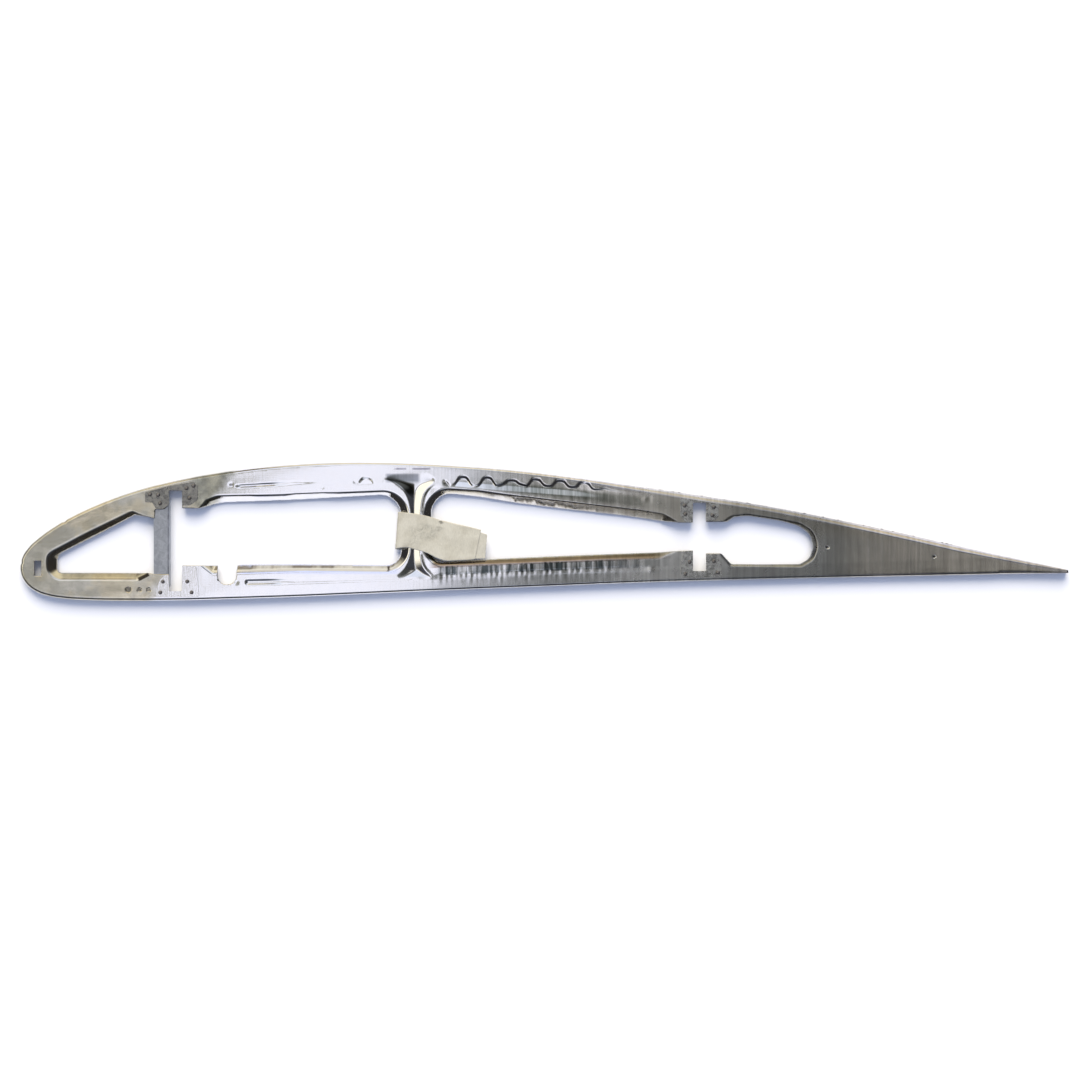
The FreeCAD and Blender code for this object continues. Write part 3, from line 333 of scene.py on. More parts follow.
def web_drop(p):
    """How far below z = 16 the sheet's upper face lies at p (mm), and the small waves on it."""
    gx, gy = to_grid(p)
    drop = np.zeros(len(p))
    # sloping flanges round the bays
    for k, line in enumerate(BENDS):
        m = near_box(p, line, 1)
        if not m.any():
            continue
        q = p[m]
        ins = inside(q, line)
        d, vec, _ = dist_line(q, line)
        d = np.where(ins, d, 0)
        ny = np.where(d > 1e-6, vec[:, 1] / np.maximum(d, 1e-6), 0)  # +1 faces the top of the sheet
        qx = gx[m]
        wob = sum(np.sin((0.22 + 0.31 * i) * qx + WAVES[i][0]) / (1 + 0.5 * i) for i in range(6))
        low, upp = smooth(ny, 0.3, 0.9), smooth(-ny, 0.3, 0.9)
        r = 5.4 + 4.2 * low
        if k == 0:
            r = r + 1.6 * upp
            deg = 39.5 - 2.4 * low
        elif k == 1:
            run = 1 - smooth(qx, 214, 226)
            streaks = np.interp(qx, [236, 240, 252, 258, 286, 292, 314, 318, 322, 330, 336], [1, 1, 0.8, 0, 0, 1, 1, 0.4, 1, 0.8, 0])
            deg = 39.5 - 2.3 * low + 2.2 * low * streaks + 11.5 * smooth(-ny, 0.90, 0.985) * (1 - run)
            r = r - upp * np.interp(qx, [205, 225, 250, 258, 284, 296, 322, 338, 384, 396], [0.4, 2.0, 1.6, 0.2, 0.4, 3.6, 3.4, 0.8, 0.4, 0])
        elif k == 2:
            deg = 39.5 + 0.7 * low + (11.5 - 3.4 * smooth(qx, 460, 540)) * smooth(-ny, 0.90, 0.985) + 0.5 * wob * upp * smooth(qx, 470, 520)
            r = r - 3.2 * upp * smooth(qx, 494, 528)
        else:
            r = np.full(len(q), 3.5)
            deg = 40.0 + 7.0 * smooth(qx, 790, 806)
        if k < 3:
            deg = deg + (0.15, 0.45, 0.35)[k] * wob * low
        ang = np.radians(deg)
        s = np.sin(ang) * r
        f = np.where(d < s, r - np.sqrt(np.maximum(r * r - np.minimum(d, s) ** 2, 0)), r * (1 - np.cos(ang)) + (d - s) * np.tan(ang))
        if k == 0:
            f = f + 0.42 * np.clip(d - 9.2, 0, None) * smooth(-ny, 0.3, 0.6) + 0.11 * np.clip(d - 6.2, 0, None) * low
        if k == 1:
            f = f + 0.42 * np.clip(d - 6.0, 0, None) * run * smooth(-ny, 0.2, 0.4) + 0.10 * np.clip(d - 7.0, 0, None) * low
        f = np.minimum(f, 13.4)
        drop[m] = np.maximum(drop[m], np.where(ins, f, 0))
    # stiffening beads
    m = (gx > 225) & (gx < 652) & near_box(p, BEAD_U, 14)
    x, y = gx[m], gy[m]
    mid_y = np.interp(x, BEAD_UX, BEAD_UY)
    # narrow groove ahead of the post
    c = np.interp(x, [228, 238, 275, 292, 330], [485.6, 485.3, 483.2, 481.6, 480.4])
    fore = smooth(y, c - 1.3, c + 1.0) * (1 - smooth(y, c + 0.8, c + 3.4)) * smooth(x, 234, 241)
    fore *= np.interp(x, [233, 240, 256, 263, 271, 278, 296, 318], [0.8, 0.95, 0.95, 1.15, 1.15, 0.7, 0.25, 0.0])
    # wavy upper edge near the post and aft of it
    edge_y = wave_edge(x)
    lower_y = mid_y + 4.4
    amp = smooth(x, 352, 358) * (1 - smooth(x, 366, 388)) * 0.55 + smooth(x, 442, 450) * (1 - 0.85 * smooth(x, 560, 640))
    aft = smooth(y, edge_y - 1.7, edge_y + 1.7) * (1 - smooth(y, lower_y - 5.5, lower_y + 3.8)) * 2.3 * amp
    drop[m] = np.maximum(drop[m], np.maximum(fore, aft))
    m = near_box(p, BEAD_L, 12)
    d, vec, at = dist_line(p[m], BEAD_L, closed=False)
    x = gx[m]
    wob = sum(np.sin((0.55 + 0.23 * i) * x + WAVES[i + 6][0]) for i in range(4)) / 4
    half = 5.0 + 1.4 * smooth(x, 425, 450)
    deep = (1.25 - 0.95 * smooth(x, 262, 296)) * (1 - smooth(x, 400, 425)) + 0.68 * smooth(x, 425, 448) * (1 - 0.3 * smooth(x, 600, 648)) * (1 + 0.12 * wob)
    deep *= 1 - smooth(x, 640, 654)
    drop[m] = np.maximum(drop[m], deep * (1 - smooth(d / half, 0.15, 1.0)))
    # recess down the post, spreading at both ends
    m = near_box(p, VALLEY, 1)
    if m.any():
        q = p[m]
        ins = inside(q, VALLEY)
        qy = gy[m]
        qx = gx[m]
        qx = gx[m]

        def lower(parts, k):
            return -np.log(sum(np.exp(-k * a) for a in parts)) / k

        def ease(line, w):
            d, _, _ = dist_line(q, line, closed=False)
            return np.sqrt(d * d + w * w) - w

        d_front, d_top, d_aft, d_low = ease(V_FRONT, 0.3), ease(V_TOP, 4.5), ease(V_AFT, 0.5), ease(V_BOTTOM, 3.5)
        d_wall, w_vec, _ = dist_line(q, V_WALL, closed=False)
        ahead = w_vec[:, 0] < 0
        part = np.where(ahead, d_front / (d_front + d_wall + 1e-6), 1.0)
        floor_z = 3.0
        bow = 1.0 + 1.6 * (1 - smooth(qy, 480, 492))
        f = lower([floor_z * (1 - (1 - part) ** bow), d_top * 0.20, d_aft * np.where(qy > 500, 0.33, 0.33 - 0.06 * smooth(qy, 500, 492)), d_low * 0.26], 5.0)
        drop[m] = np.maximum(drop[m], np.where(ins, np.clip(f, 0, None), 0))
    # shallow step down between the recess and the after bay
    m = (gx > 417) & (gx < 446) & (gy > 478) & (gy < 580)
    if m.any():
        d, vec, _ = dist_line(p[m], V_AFT, closed=False)
        qx, qy = gx[m], gy[m]
        out = ~inside(p[m], VALLEY)
        span_y = smooth(qy, 483.5, 488.5) * (1 - smooth(qy, 506, 516)) + smooth(qy, 553, 559) * (1 - smooth(qy, 571, 577))
        step = 0.55 * smooth(d, 1.2, 4.2) * span_y * (1 - smooth(qx, 425, 441)) * out
        drop[m] = np.maximum(drop[m], step)
    # hand-pressed sheet is never quite flat
    tail = smooth(gx, 430, 620)
    calm = 1 - 0.6 * (smooth(gx, 200, 240) - smooth(gx, 380, 440))
    plated = np.zeros(len(p))
    for x0, x1, y0, y1 in PLATED:
        plated = np.maximum(plated, smooth(gx, x0 - 8, x0) * (1 - smooth(gx, x1, x1 + 8)) * smooth(gy, y0 - 6, y0) * (1 - smooth(gy, y1, y1 + 6)))
    z = np.zeros(len(p))
    for i, (a, k, b) in enumerate(WAVES[:8]):
        z += 0.05 * calm * np.sin(k * p[:, 0] / 21.0 + a) * np.cos(k * p[:, 1] / 17.0 + b)
    for i, (a, k, b) in enumerate(WAVES[8:16]):
        z += 0.007 * tail * np.sin((0.5 + 0.55 * i) * 0.16 * p[:, 0] + a + 0.02 * p[:, 1])
    # lower chord aft of the post: close-set ripples across the chord
    low = smooth(gx, 424, 440) * (1 - smooth(gx, 600, 660)) * smooth(gy, 545, 556)
    for i, (a, k, b) in enumerate(WAVES[20:24]):
        z += 0.011 * low * np.sin((0.36 + 0.15 * i + 0.05 * k) * p[:, 0] + a + 0.02 * p[:, 1])
    z *= 1 - plated
    z -= 0.02 * plated
    # small pressed marks at the ends of the beads
    for cx, cy, r, h in ((231.2, 484.8, 2.4, -0.3), (236.3, 582.5, 2.2, -0.35), (827.6, 547.3, 2.4, 0.3), (934.5, 556.6, 2.4, 0.3),
                         (322.4, 487.7, 2.0, -0.1), (645, 499, 4.0, 0.5), (650.6, 569.1, 4.0, 0.5)):
        c = g(cx, cy)
        rr = np.hypot(p[:, 0] - c[0], p[:, 1] - c[1])
        z += h * np.exp(-(rr / r) ** 2)
    return drop, z


BEND_R = 4.8


def edge_nick(p, n):
    """Small nicks in the outer bend."""
    for cx, cy, a in ((64.0, 521.2, 1.5), (19.6, 562.5, 1.2)):
        c = g(cx, cy)
        rr = np.hypot(p[:, 0] - c[0], p[:, 1] - c[1])
        p = p + n * (a * np.exp(-(rr / 2.1) ** 2))[:, None]
    return p


def mesh_object(name, verts, faces, smooth_shade=True):
    me = bpy.data.meshes.new(name)
    me.from_pydata([tuple(v) for v in verts], [], faces)
    me.update()
    ob = bpy.data.objects.new(name, me)
    bpy.context.scene.collection.objects.link(ob)
    if smooth_shade:
        me.polygons.foreach_set("use_smooth", [True] * len(me.polygons))
    return ob


def apply_modifiers(ob):
    dg = bpy.context.evaluated_depsgraph_get()
    me = bpy.data.meshes.new_from_object(ob.evaluated_get(dg))
    old = ob.data
    ob.modifiers.clear()
    ob.data = me
    bpy.data.meshes.remove(old)


def build_rib():
    cp, cn = contour_line(2.0)
    cp = edge_nick(cp, cn)
    # bend radius: larger along the thin after end, small again at the tip
    qx, qy = to_grid(cp)
    br = BEND_R + 3.4 * smooth(qx, 560, 700) * (qy < 574.5)
    br = np.minimum(br, np.interp(qx, [960, 1030, 1068.4], [8.2, 5.0, 1.3]))
    ring0 = cp + cn * br[:, None]
    boundary = ring0
    front, aft = rounded(FRONT_WINDOW, 1.6, 0.9), rounded(AFT_WINDOW, 1.6, 0.9)
    c = g(37.85, 568.5)
    w, h = 9.7 / 2, 21.8 / 2
    slot = []
    for sx, sy, a0 in ((1, -1, -90), (1, 1, 0), (-1, 1, 90), (-1, -1, 180)):
        for k in range(4):
            a = math.radians(a0 + 30 * k)
            slot.append((c[0] + sx * (w - 1.0) + math.cos(a), c[1] + sy * (h - 1.0) + math.sin(a)))
    loops = [boundary, front, aft, np.array(slot)]
    for x, y, r in HOLES:
        c = g(x, y)
        n = 28 if r > 2 else 18
        loops.append(np.array([(c[0] + r * math.cos(2 * math.pi * i / n), c[1] + r * math.sin(2 * math.pi * i / n)) for i in range(n)]))
    holes = loops[1:]
    # points inside: fine near bends and beads, coarse on flat web
    lo, hi = boundary.min(0), boundary.max(0)

    def hexgrid(s):
        xs = np.arange(lo[0], hi[0], s)
        ys = np.arange(lo[1], hi[1], s * 0.866)
        X, Y = np.meshgrid(xs, ys)
        X = X + (np.arange(len(ys)) % 2)[:, None] * s / 2
        return np.stack([X.ravel(), Y.ravel()], 1)

    fine_s, coarse_s = ((1.15, 2.3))
    fine = hexgrid(fine_s)
    keep = inside(fine, boundary)
    for hl in holes:
        keep &= ~inside(fine, hl)
    fine = fine[keep]
    detail = np.zeros(len(fine), bool)
    for line in BENDS:
        m = near_box(fine, line, 1.5)
        d, _, _ = dist_line(fine[m], line)
        detail[m] |= (d < 7.5) | inside(fine[m], line)
    for line, closed, r in ((BEAD_U, False, 11), (BEAD_L, False, 7)):
        m = near_box(fine, line, r)
        d, _, _ = dist_line(fine[m], line, closed)
        detail[m] |= d < r
    m = near_box(fine, VALLEY, 1)
    detail[m] |= inside(fine[m], VALLEY)
    coarse = hexgrid(coarse_s)
    keep = inside(coarse, boundary)
    for hl in holes:
        keep &= ~inside(coarse, hl)
    coarse = coarse[keep]
    far = np.ones(len(coarse), bool)
    for line in BENDS:
        m = near_box(coarse, line, 1.5)
        d, _, _ = dist_line(coarse[m], line)
        far[m] &= ~((d < 7.5) | inside(coarse[m], line))
    for line, closed, r in ((BEAD_U, False, 11), (BEAD_L, False, 7)):
        m = near_box(coarse, line, r)
        d, _, _ = dist_line(coarse[m], line, closed)
        far[m] &= ~(d < r)
    m = near_box(coarse, VALLEY, 1)
    far[m] &= ~inside(coarse[m], VALLEY)
    pts = np.vstack([fine[detail], coarse[far]])
    for lp in loops:
        m = near_box(pts, lp, 2)
        d, _, _ = dist_line(pts[m], lp)
        ok = np.ones(len(pts), bool)
        ok[np.flatnonzero(m)[d < 0.55]] = False
        pts = pts[ok]
    verts = [Vector(v) for v in np.vstack(loops + [pts])]
    edges, k = [], 0
    for lp in loops:
        n = len(lp)
        edges += [(k + i, k + (i + 1) % n) for i in range(n)]
        k += n
    cv, _, cf, _, _, _ = geometry.delaunay_2d_cdt(verts, edges, [], 0, 1e-7)
    cv = np.array([tuple(v) for v in cv])
    cf = np.array([tuple(f) for f in cf])
    mid = cv[cf].mean(1)
    keep = inside(mid, boundary)
    for hl in holes:
        keep &= ~inside(mid, hl)
    cf = cf[keep]
    a = cv[cf]
    area = (a[:, 1, 0] - a[:, 0, 0]) * (a[:, 2, 1] - a[:, 0, 1]) - (a[:, 1, 1] - a[:, 0, 1]) * (a[:, 2, 0] - a[:, 0, 0])
    cf = cf[np.abs(area) > 1e-7]
    area = area[np.abs(area) > 1e-7]
    cf[area < 0] = cf[area < 0][:, ::-1]
    drop, wave = web_drop(cv)
    d, _, _ = dist_line(cv, ring0, closed=False)
    web = np.column_stack([cv, TOP - drop + wave * smooth(d, 0.0, 9.0)])
    # the outer flange: bend, then the standing leg
    zr = TOP - web_drop(ring0)[0]
    rows = []
    for t in np.radians([0, 8, 16, 24, 32, 40, 48, 58, 68, 79, 90]):
        off = br * (1 - math.sin(t))
        rows.append(np.column_stack([cp + cn * off[:, None], TOP - br * (1 - math.cos(t)) + (zr - TOP) * (1 - t / (math.pi / 2))]))
    for zz in (9.0, 6.0, 3.0, 0.0):
        rows.append(np.column_stack([cp, np.full(len(cp), zz)]))
    strip = np.vstack(rows)
    n = len(cp)
    sf = []
    for r in range(len(rows) - 1):
        for i in range(n - 1):
            a0, b0 = r * n + i, r * n + i + 1
            sf.append((a0, a0 + n, b0 + n, b0))
    allv = np.vstack([web, strip]) * 0.001
    faces = [tuple(int(j) for j in f) for f in cf] + [tuple(len(web) + j for j in f) for f in sf]
    ob = mesh_object("rib_sheet", allv, faces)
    bm = bmesh.new()
    bm.from_mesh(ob.data)
    bmesh.ops.remove_doubles(bm, verts=bm.verts, dist=2e-5)
    bmesh.ops.delete(bm, geom=[v for v in bm.verts if not v.link_faces], context="VERTS")
    bmesh.ops.recalc_face_normals(bm, faces=bm.faces)
    up = sum(f.normal.z * f.calc_area() for f in bm.faces)
    if up < 0:
        bmesh.ops.reverse_faces(bm, faces=bm.faces)
    bm.to_mesh(ob.data)
    bm.free()
    s = ob.modifiers.new("gauge", "SOLIDIFY")
    s.thickness, s.offset, s.use_even_offset, s.use_rim = GAUGE * 0.001, -1, True, True
    s.thickness_clamp = 1.2
    n0 = len(ob.data.vertices)
    before = np.array([v.co[:] for v in ob.data.vertices])
    norm = np.array([v.normal[:] for v in ob.data.vertices])
    apply_modifiers(ob)
    after = np.array([v.co[:] for v in ob.data.vertices])
    if len(after) == 2 * n0:
        away = np.linalg.norm(after[n0:] - before, axis=1) > GAUGE * 0.0016
        after[n0:][away] = before[away] - norm[away] * GAUGE * 0.001
        ob.data.vertices.foreach_set("co", after.ravel())
        ob.data.update()
    print("sheet points", n0, "eased", int(away.sum()) if len(after) == 2 * n0 else -1)
    # lips turned down along the spar slots
    bm = bmesh.new()
    bm.from_mesh(ob.data)
    fx0 = g(175.6, 0)[0] - 19.05 / 2
    rx0 = g(699.5, 0)[0] - 19.05 / 2
    for x0, side, ya, yb in (
            (fx0 - GAUGE, -1, 498.3, 491.6), (fx0 + 19.05, 1, 507.9, 491.6), (fx0 - GAUGE, -1, 590.4, 586.8),
            (fx0 + 19.05, 1, 590.4, 565.8), (rx0 - GAUGE, -1, 522.2, 503.6), (rx0 + 19.05, 1, 521.4, 503.6),
            (rx0 - GAUGE, -1, 570.4, 550.9), (rx0 + 19.05, 1, 570.4, 553.9)):
        y0, y1 = g(0, ya)[1], g(0, yb)[1]
        edge_x = x0 + (GAUGE if side < 0 else 0)
        # profile: foot under the web, a small bend, and the lip
        prof_o = [(3.2, 15.22), (1.9, 15.22)] + [(1.6 - 1.6 * math.sin(a), 13.55 + 1.6 * math.cos(a)) for a in np.radians([12, 30, 50, 70, 90])] + [(0, 10.4), (0, 6.6)]
        prof_i = [(0.8, 6.6), (0.8, 10.4)] + [(1.6 - 0.8 * math.sin(a), 13.55 + 0.8 * math.cos(a)) for a in np.radians([90, 60, 30, 0])] + [(3.2, 14.35)]
        prof = prof_o + prof_i
        ring = []
        for yy in (y0, y1):
            ring.append([bm.verts.new(((edge_x + side * u) * 0.001, yy * 0.001, zz * 0.001)) for u, zz in prof])
        m = len(prof)
        fs = []
        for i in range(m):
            j = (i + 1) % m
            fs.append(bm.faces.new((ring[0][i], ring[0][j], ring[1][j], ring[1][i])))
        fs.append(bm.faces.new(ring[0]))
        fs.append(bm.faces.new(ring[1][::-1]))
        bmesh.ops.recalc_face_normals(bm, faces=fs)
    bm.to_mesh(ob.data)
    bm.free()
    return ob


# ----------------------------------------------------------------- materials
class Nodes:
    def __init__(self, tree):
        self.t = tree
        self.t.nodes.clear()

    def node(self, kind, **kw):
        n = self.t.nodes.new(kind)
        for k, v in kw.items():
            setattr(n, k, v)
        return n

    def put(self, sock, v):
        if isinstance(v, bpy.types.NodeSocket):
            self.t.links.new(v, sock)
        elif v is not None:
            sock.default_value = v

    def math(self, op, a, b=None, c=None, clamp=False):
        n = self.node("ShaderNodeMath", operation=op, use_clamp=clamp)
        for i, v in enumerate((a, b, c)):
            if v is not None:
                self.put(n.inputs[i], v)
        return n.outputs[0]

    def vmath(self, op, a, b=None, c=None):
        n = self.node("ShaderNodeVectorMath", operation=op)
        for i, v in enumerate((a, b, c)):
            if v is not None:
                self.put(n.inputs[i], v)
        return n.outputs["Value"] if op in ("DOT_PRODUCT", "LENGTH", "DISTANCE") else n.outputs[0]

    def ramp(self, v, a, b, c=0.0, d=1.0, kind="SMOOTHSTEP"):
        n = self.node("ShaderNodeMapRange", interpolation_type=kind, clamp=True)
        for i, x in enumerate((v, a, b, c, d)):
            self.put(n.inputs[i], x)
        return n.outputs[0]

    def mix(self, f, a, b):
        n = self.node("ShaderNodeMix", data_type="RGBA")
        self.put(n.inputs["Factor"], f)
        for s, v in ((6, a), (7, b)):
            if isinstance(v, tuple) and len(v) == 3:
                v = (*v, 1)
            self.put(n.inputs[s], v)
        return n.outputs[2]

    def mul(self, a, b, f=1.0):
        n = self.node("ShaderNodeMix", data_type="RGBA", blend_type="MULTIPLY")
        self.put(n.inputs["Factor"], f)
        for s, v in ((6, a), (7, b)):
            if isinstance(v, tuple) and len(v) == 3:
                v = (*v, 1)
            self.put(n.inputs[s], v)
        return n.outputs[2]

    def noise(self, vec, scale, detail=3.0, rough=0.55, dist=0.0):
        n = self.node("ShaderNodeTexNoise", noise_dimensions="3D")
        self.put(n.inputs["Vector"], vec)
        n.inputs["Scale"].default_value = scale
        n.inputs["Detail"].default_value = detail
        n.inputs["Roughness"].default_value = rough
        n.inputs["Distortion"].default_value = dist
        return n.outputs[0]

    def sep(self, v):
        n = self.node("ShaderNodeSeparateXYZ")
        self.put(n.inputs[0], v)
        return n.outputs

    def grey(self, v):
        n = self.node("ShaderNodeCombineColor")
        for i in range(3):
            self.put(n.inputs[i], v)
        return n.outputs[0]

    def bump(self, h, strength, distance, normal=None):
        n = self.node("ShaderNodeBump")
        n.inputs["Strength"].default_value = strength
        n.inputs["Distance"].default_value = distance
        self.put(n.inputs["Height"], h)
        if normal is not None:
            self.put(n.inputs["Normal"], normal)
        return n.outputs[0]


def new_material(name):
    m = bpy.data.materials.new(name)
    m.use_nodes = True
    return m, Nodes(m.node_tree)


def principled(N, base, rough, normal=None, metallic=1.0, **kw):
    b = N.node("ShaderNodeBsdfPrincipled")
    N.put(b.inputs["Base Color"], base if not (isinstance(base, tuple) and len(base) == 3) else (*base, 1))
    N.put(b.inputs["Roughness"], rough)
    b.inputs["Metallic"].default_value = metallic
    if normal is not None:
        N.put(b.inputs["Normal"], normal)
    for k, v in kw.items():
        b.inputs[k].default_value = v
    out = N.node("ShaderNodeOutputMaterial")
    N.t.links.new(b.outputs[0], out.inputs[0])
    return b


def grid_coords(N):
    """Object coordinates, and the same in template grid units."""
    tc = N.node("ShaderNodeTexCoord").outputs["Object"]
    s = N.sep(tc)
    px = N.math("MULTIPLY_ADD", s[0], 1000 / GRID, GX0)
    py = N.math("MULTIPLY_ADD", s[1], -1000 / GRID, GY0)
    return tc, s, px, py


def sheet_material():
    m, N = new_material("pressed_aluminium")
    tc, s, px, py = grid_coords(N)
    mottle = N.noise(tc, 70.0, 4.0, 0.6, 0.4)
    cloud = N.noise(tc, 22.0, 3.0, 0.6, 0.2)
    grain_x = N.noise(N.vmath("MULTIPLY", tc, (18.0, 900.0, 60.0)), 1.0, 3.0, 0.6)
    grain_y = N.noise(N.vmath("MULTIPLY", tc, (330.0, 9.0, 9.0)), 1.0, 4.0, 0.62)
    band_y = N.noise(N.vmath("MULTIPLY", tc, (95.0, 5.0, 5.0)), 1.0, 3.0, 0.6)
    tail = N.ramp(px, 560.0, 660.0)
    # olive-tinted, duller area from the nose back to the first spar
    cloud2 = N.noise(N.vmath("MULTIPLY", tc, (1.0, 1.5, 1.0)), 30.0, 5.0, 0.62, 0.5)
    edge = N.math("MULTIPLY_ADD", cloud2, 26.0, N.math("MULTIPLY_ADD", py, 0.655, px))
    nose = N.ramp(edge, 563.0, 547.0)
    # end of the upper bead: painted highlight, a bright ring where the olive tint is left off, with a mark in it
    ex, ey = N.math("SUBTRACT", px, 231.2), N.math("SUBTRACT", py, 484.7)
    ring = N.math("SQRT", N.math("ADD", N.math("MULTIPLY", ex, ex), N.math("MULTIPLY", ey, ey)))
    nose = N.math("MULTIPLY", nose, N.ramp(ring, 3.6, 4.8))
    # fine vertical streaks on the after half
    streak = N.math("MULTIPLY", N.ramp(grain_y, 0.36, 0.64), N.ramp(px, 440.0, 620.0, 0.0, 0.34))
    band = N.math("MULTIPLY", N.ramp(band_y, 0.36, 0.64), N.ramp(px, 430.0, 520.0, 0.0, 0.45))
    base = N.mix(N.ramp(mottle, 0.3, 0.7), (0.86, 0.865, 0.885), (0.92, 0.92, 0.935))
    base = N.mul(base, N.mix(streak, (1, 1, 1), (0.62, 0.61, 0.60)))
    base = N.mul(base, N.mix(band, (1, 1, 1), (0.66, 0.65, 0.64)))
    base = N.mul(base, N.mix(tail, (1, 1, 1), (0.80, 0.805, 0.775)))
    base = N.mul(base, N.mix(N.ramp(px, 800.0, 900.0), (1, 1, 1), (1.0, 0.955, 0.92)))
    # painted reflection: a warm brown tint on the upper chord aft of the post
    brown = N.math("MULTIPLY", N.ramp(px, 470.0, 560.0), N.ramp(py, 546.0, 524.0))
    base = N.mul(base, N.mix(brown, (1, 1, 1), (0.97, 0.935, 0.87)))
    mid = N.math("MULTIPLY", N.ramp(px, 705.0, 740.0), N.ramp(px, 862.0, 838.0))
    base = N.mul(base, N.mix(mid, (1, 1, 1), (0.66, 0.67, 0.68)))
    # painted reflection: a paler, bluer band along the rolled upper edge of the after half
    far = N.math("MAXIMUM", N.math("MULTIPLY_ADD", px, 0.1485, 392.2), N.math("MULTIPLY_ADD", px, 0.2112, 344.3))
    rim = N.math("MULTIPLY", N.ramp(N.math("SUBTRACT", py, far), 5.6, 4.2), N.ramp(px, 520.0, 600.0))
    base = N.mul(base, N.mix(rim, (1, 1, 1), (1.08, 1.10, 1.22)))
    # painted reflection on the lower flanges: brown tones with a dark band along the after bay's, a paler, bluer tint
    # along the middle bay's
    v = N.math("MULTIPLY_ADD", px, 0.0403, N.math("SUBTRACT", py, 17.97))
    run = N.math("MULTIPLY", N.math("MULTIPLY", N.ramp(px, 428.0, 436.0), N.ramp(px, 676.0, 650.0)), N.ramp(py, 545.0, 549.0))
    flange_reflection_tones = N.mix(N.ramp(v, 561.2, 562.6), (0.72, 0.70, 0.60), N.mix(N.ramp(v, 564.0, 565.4), (0.27, 0.225, 0.18), (0.50, 0.42, 0.37)))
    base = N.mul(base, N.mix(N.math("MULTIPLY", run, N.ramp(v, 568.2, 566.8)), (1, 1, 1), flange_reflection_tones))
    pale = N.math("MULTIPLY", N.math("MULTIPLY", N.ramp(px, 236.0, 244.0), N.ramp(px, 402.0, 394.0)), N.math("MULTIPLY", N.ramp(py, 560.0, 563.0), N.ramp(py, 575.0, 573.0)))
    base = N.mul(base, N.mix(pale, (1, 1, 1), (0.90, 0.94, 1.10)))
    # painted dark reflection: a thin dark strip where the nose bay's lower flange runs out
    ex, ey = N.math("SUBTRACT", px, 143.6), N.math("SUBTRACT", py, 576.8)
    along = N.math("MULTIPLY_ADD", ex, 0.888, N.math("MULTIPLY", ey, -0.460))
    across = N.math("MULTIPLY_ADD", ex, 0.460, N.math("MULTIPLY", ey, 0.888))
    dark_reflection_sliver = N.math("MULTIPLY", N.ramp(N.math("ABSOLUTE", across), 2.3, 1.3), N.ramp(N.math("ABSOLUTE", along), 6.6, 5.0))
    base = N.mul(base, N.mix(dark_reflection_sliver, (1, 1, 1), (0.10, 0.085, 0.07)))
    # painted shade: a dashed dark line along the fold over the recess
    crease_shade = N.math("MULTIPLY", N.ramp(N.math("ABSOLUTE", N.math("SUBTRACT", py, 468.8)), 1.3, 0.5), N.math("MULTIPLY", N.ramp(px, 386.0, 394.0), N.ramp(px, 440.0, 426.0)))
    crease_shade = N.math("MULTIPLY", crease_shade, N.ramp(N.noise(N.vmath("MULTIPLY", tc, (60.0, 10.0, 10.0)), 1.0, 3.0, 0.6), 0.40, 0.56))
    base = N.mul(base, N.mix(crease_shade, (1, 1, 1), (0.45, 0.44, 0.50)))
    # painted dark reflections: broken streaks across both chords aft of the post
    blur = N.noise(tc, 260.0, 3.0, 0.6)
    reflection_blocks = N.ramp(N.noise(N.vmath("MULTIPLY", tc, (135.0, 9.0, 9.0)), 1.0, 4.0, 0.62, 0.3), 0.38, 0.60)
    v = N.math("MULTIPLY_ADD", px, 0.040, N.math("SUBTRACT", py, 18.0))
    v = N.math("MULTIPLY_ADD", N.math("SUBTRACT", blur, 0.5), 5.0, v)
    dark_reflection_row = N.math("MULTIPLY", N.ramp(v, 565.5, 567.5), N.ramp(v, 576.4, 573.6))
    dark_reflection_row = N.math("MULTIPLY", dark_reflection_row, N.math("MULTIPLY", N.ramp(px, 432.0, 446.0), N.ramp(px, 700.0, 590.0)))
    base = N.mul(base, N.mix(N.math("MULTIPLY", dark_reflection_row, reflection_blocks), (1, 1, 1), (0.15, 0.175, 0.18)))
    v = N.math("MULTIPLY_ADD", px, -0.115, N.math("ADD", py, 55.2))
    dark_reflection_row = N.math("MULTIPLY", N.math("MULTIPLY", N.ramp(v, 476.0, 481.0), N.ramp(v, 491.0, 486.0)), N.ramp(px, 462.0, 520.0))
    dark_reflection_row = N.math("MULTIPLY", dark_reflection_row, N.ramp(px, 700.0, 600.0))
    dark_reflection_row = N.math("MULTIPLY", dark_reflection_row, N.math("MULTIPLY", N.ramp(py, 540.0, 525.0), N.math("MULTIPLY_ADD", reflection_blocks, 0.45, 0.5)))
    base = N.mul(base, N.mix(dark_reflection_row, (1, 1, 1), (0.42, 0.45, 0.42)))
    spots = N.math("MULTIPLY", N.ramp(ring, 2.0, 1.0), 0.6)
    base = N.mul(base, N.mix(spots, (1, 1, 1), (0.3, 0.3, 0.33)))
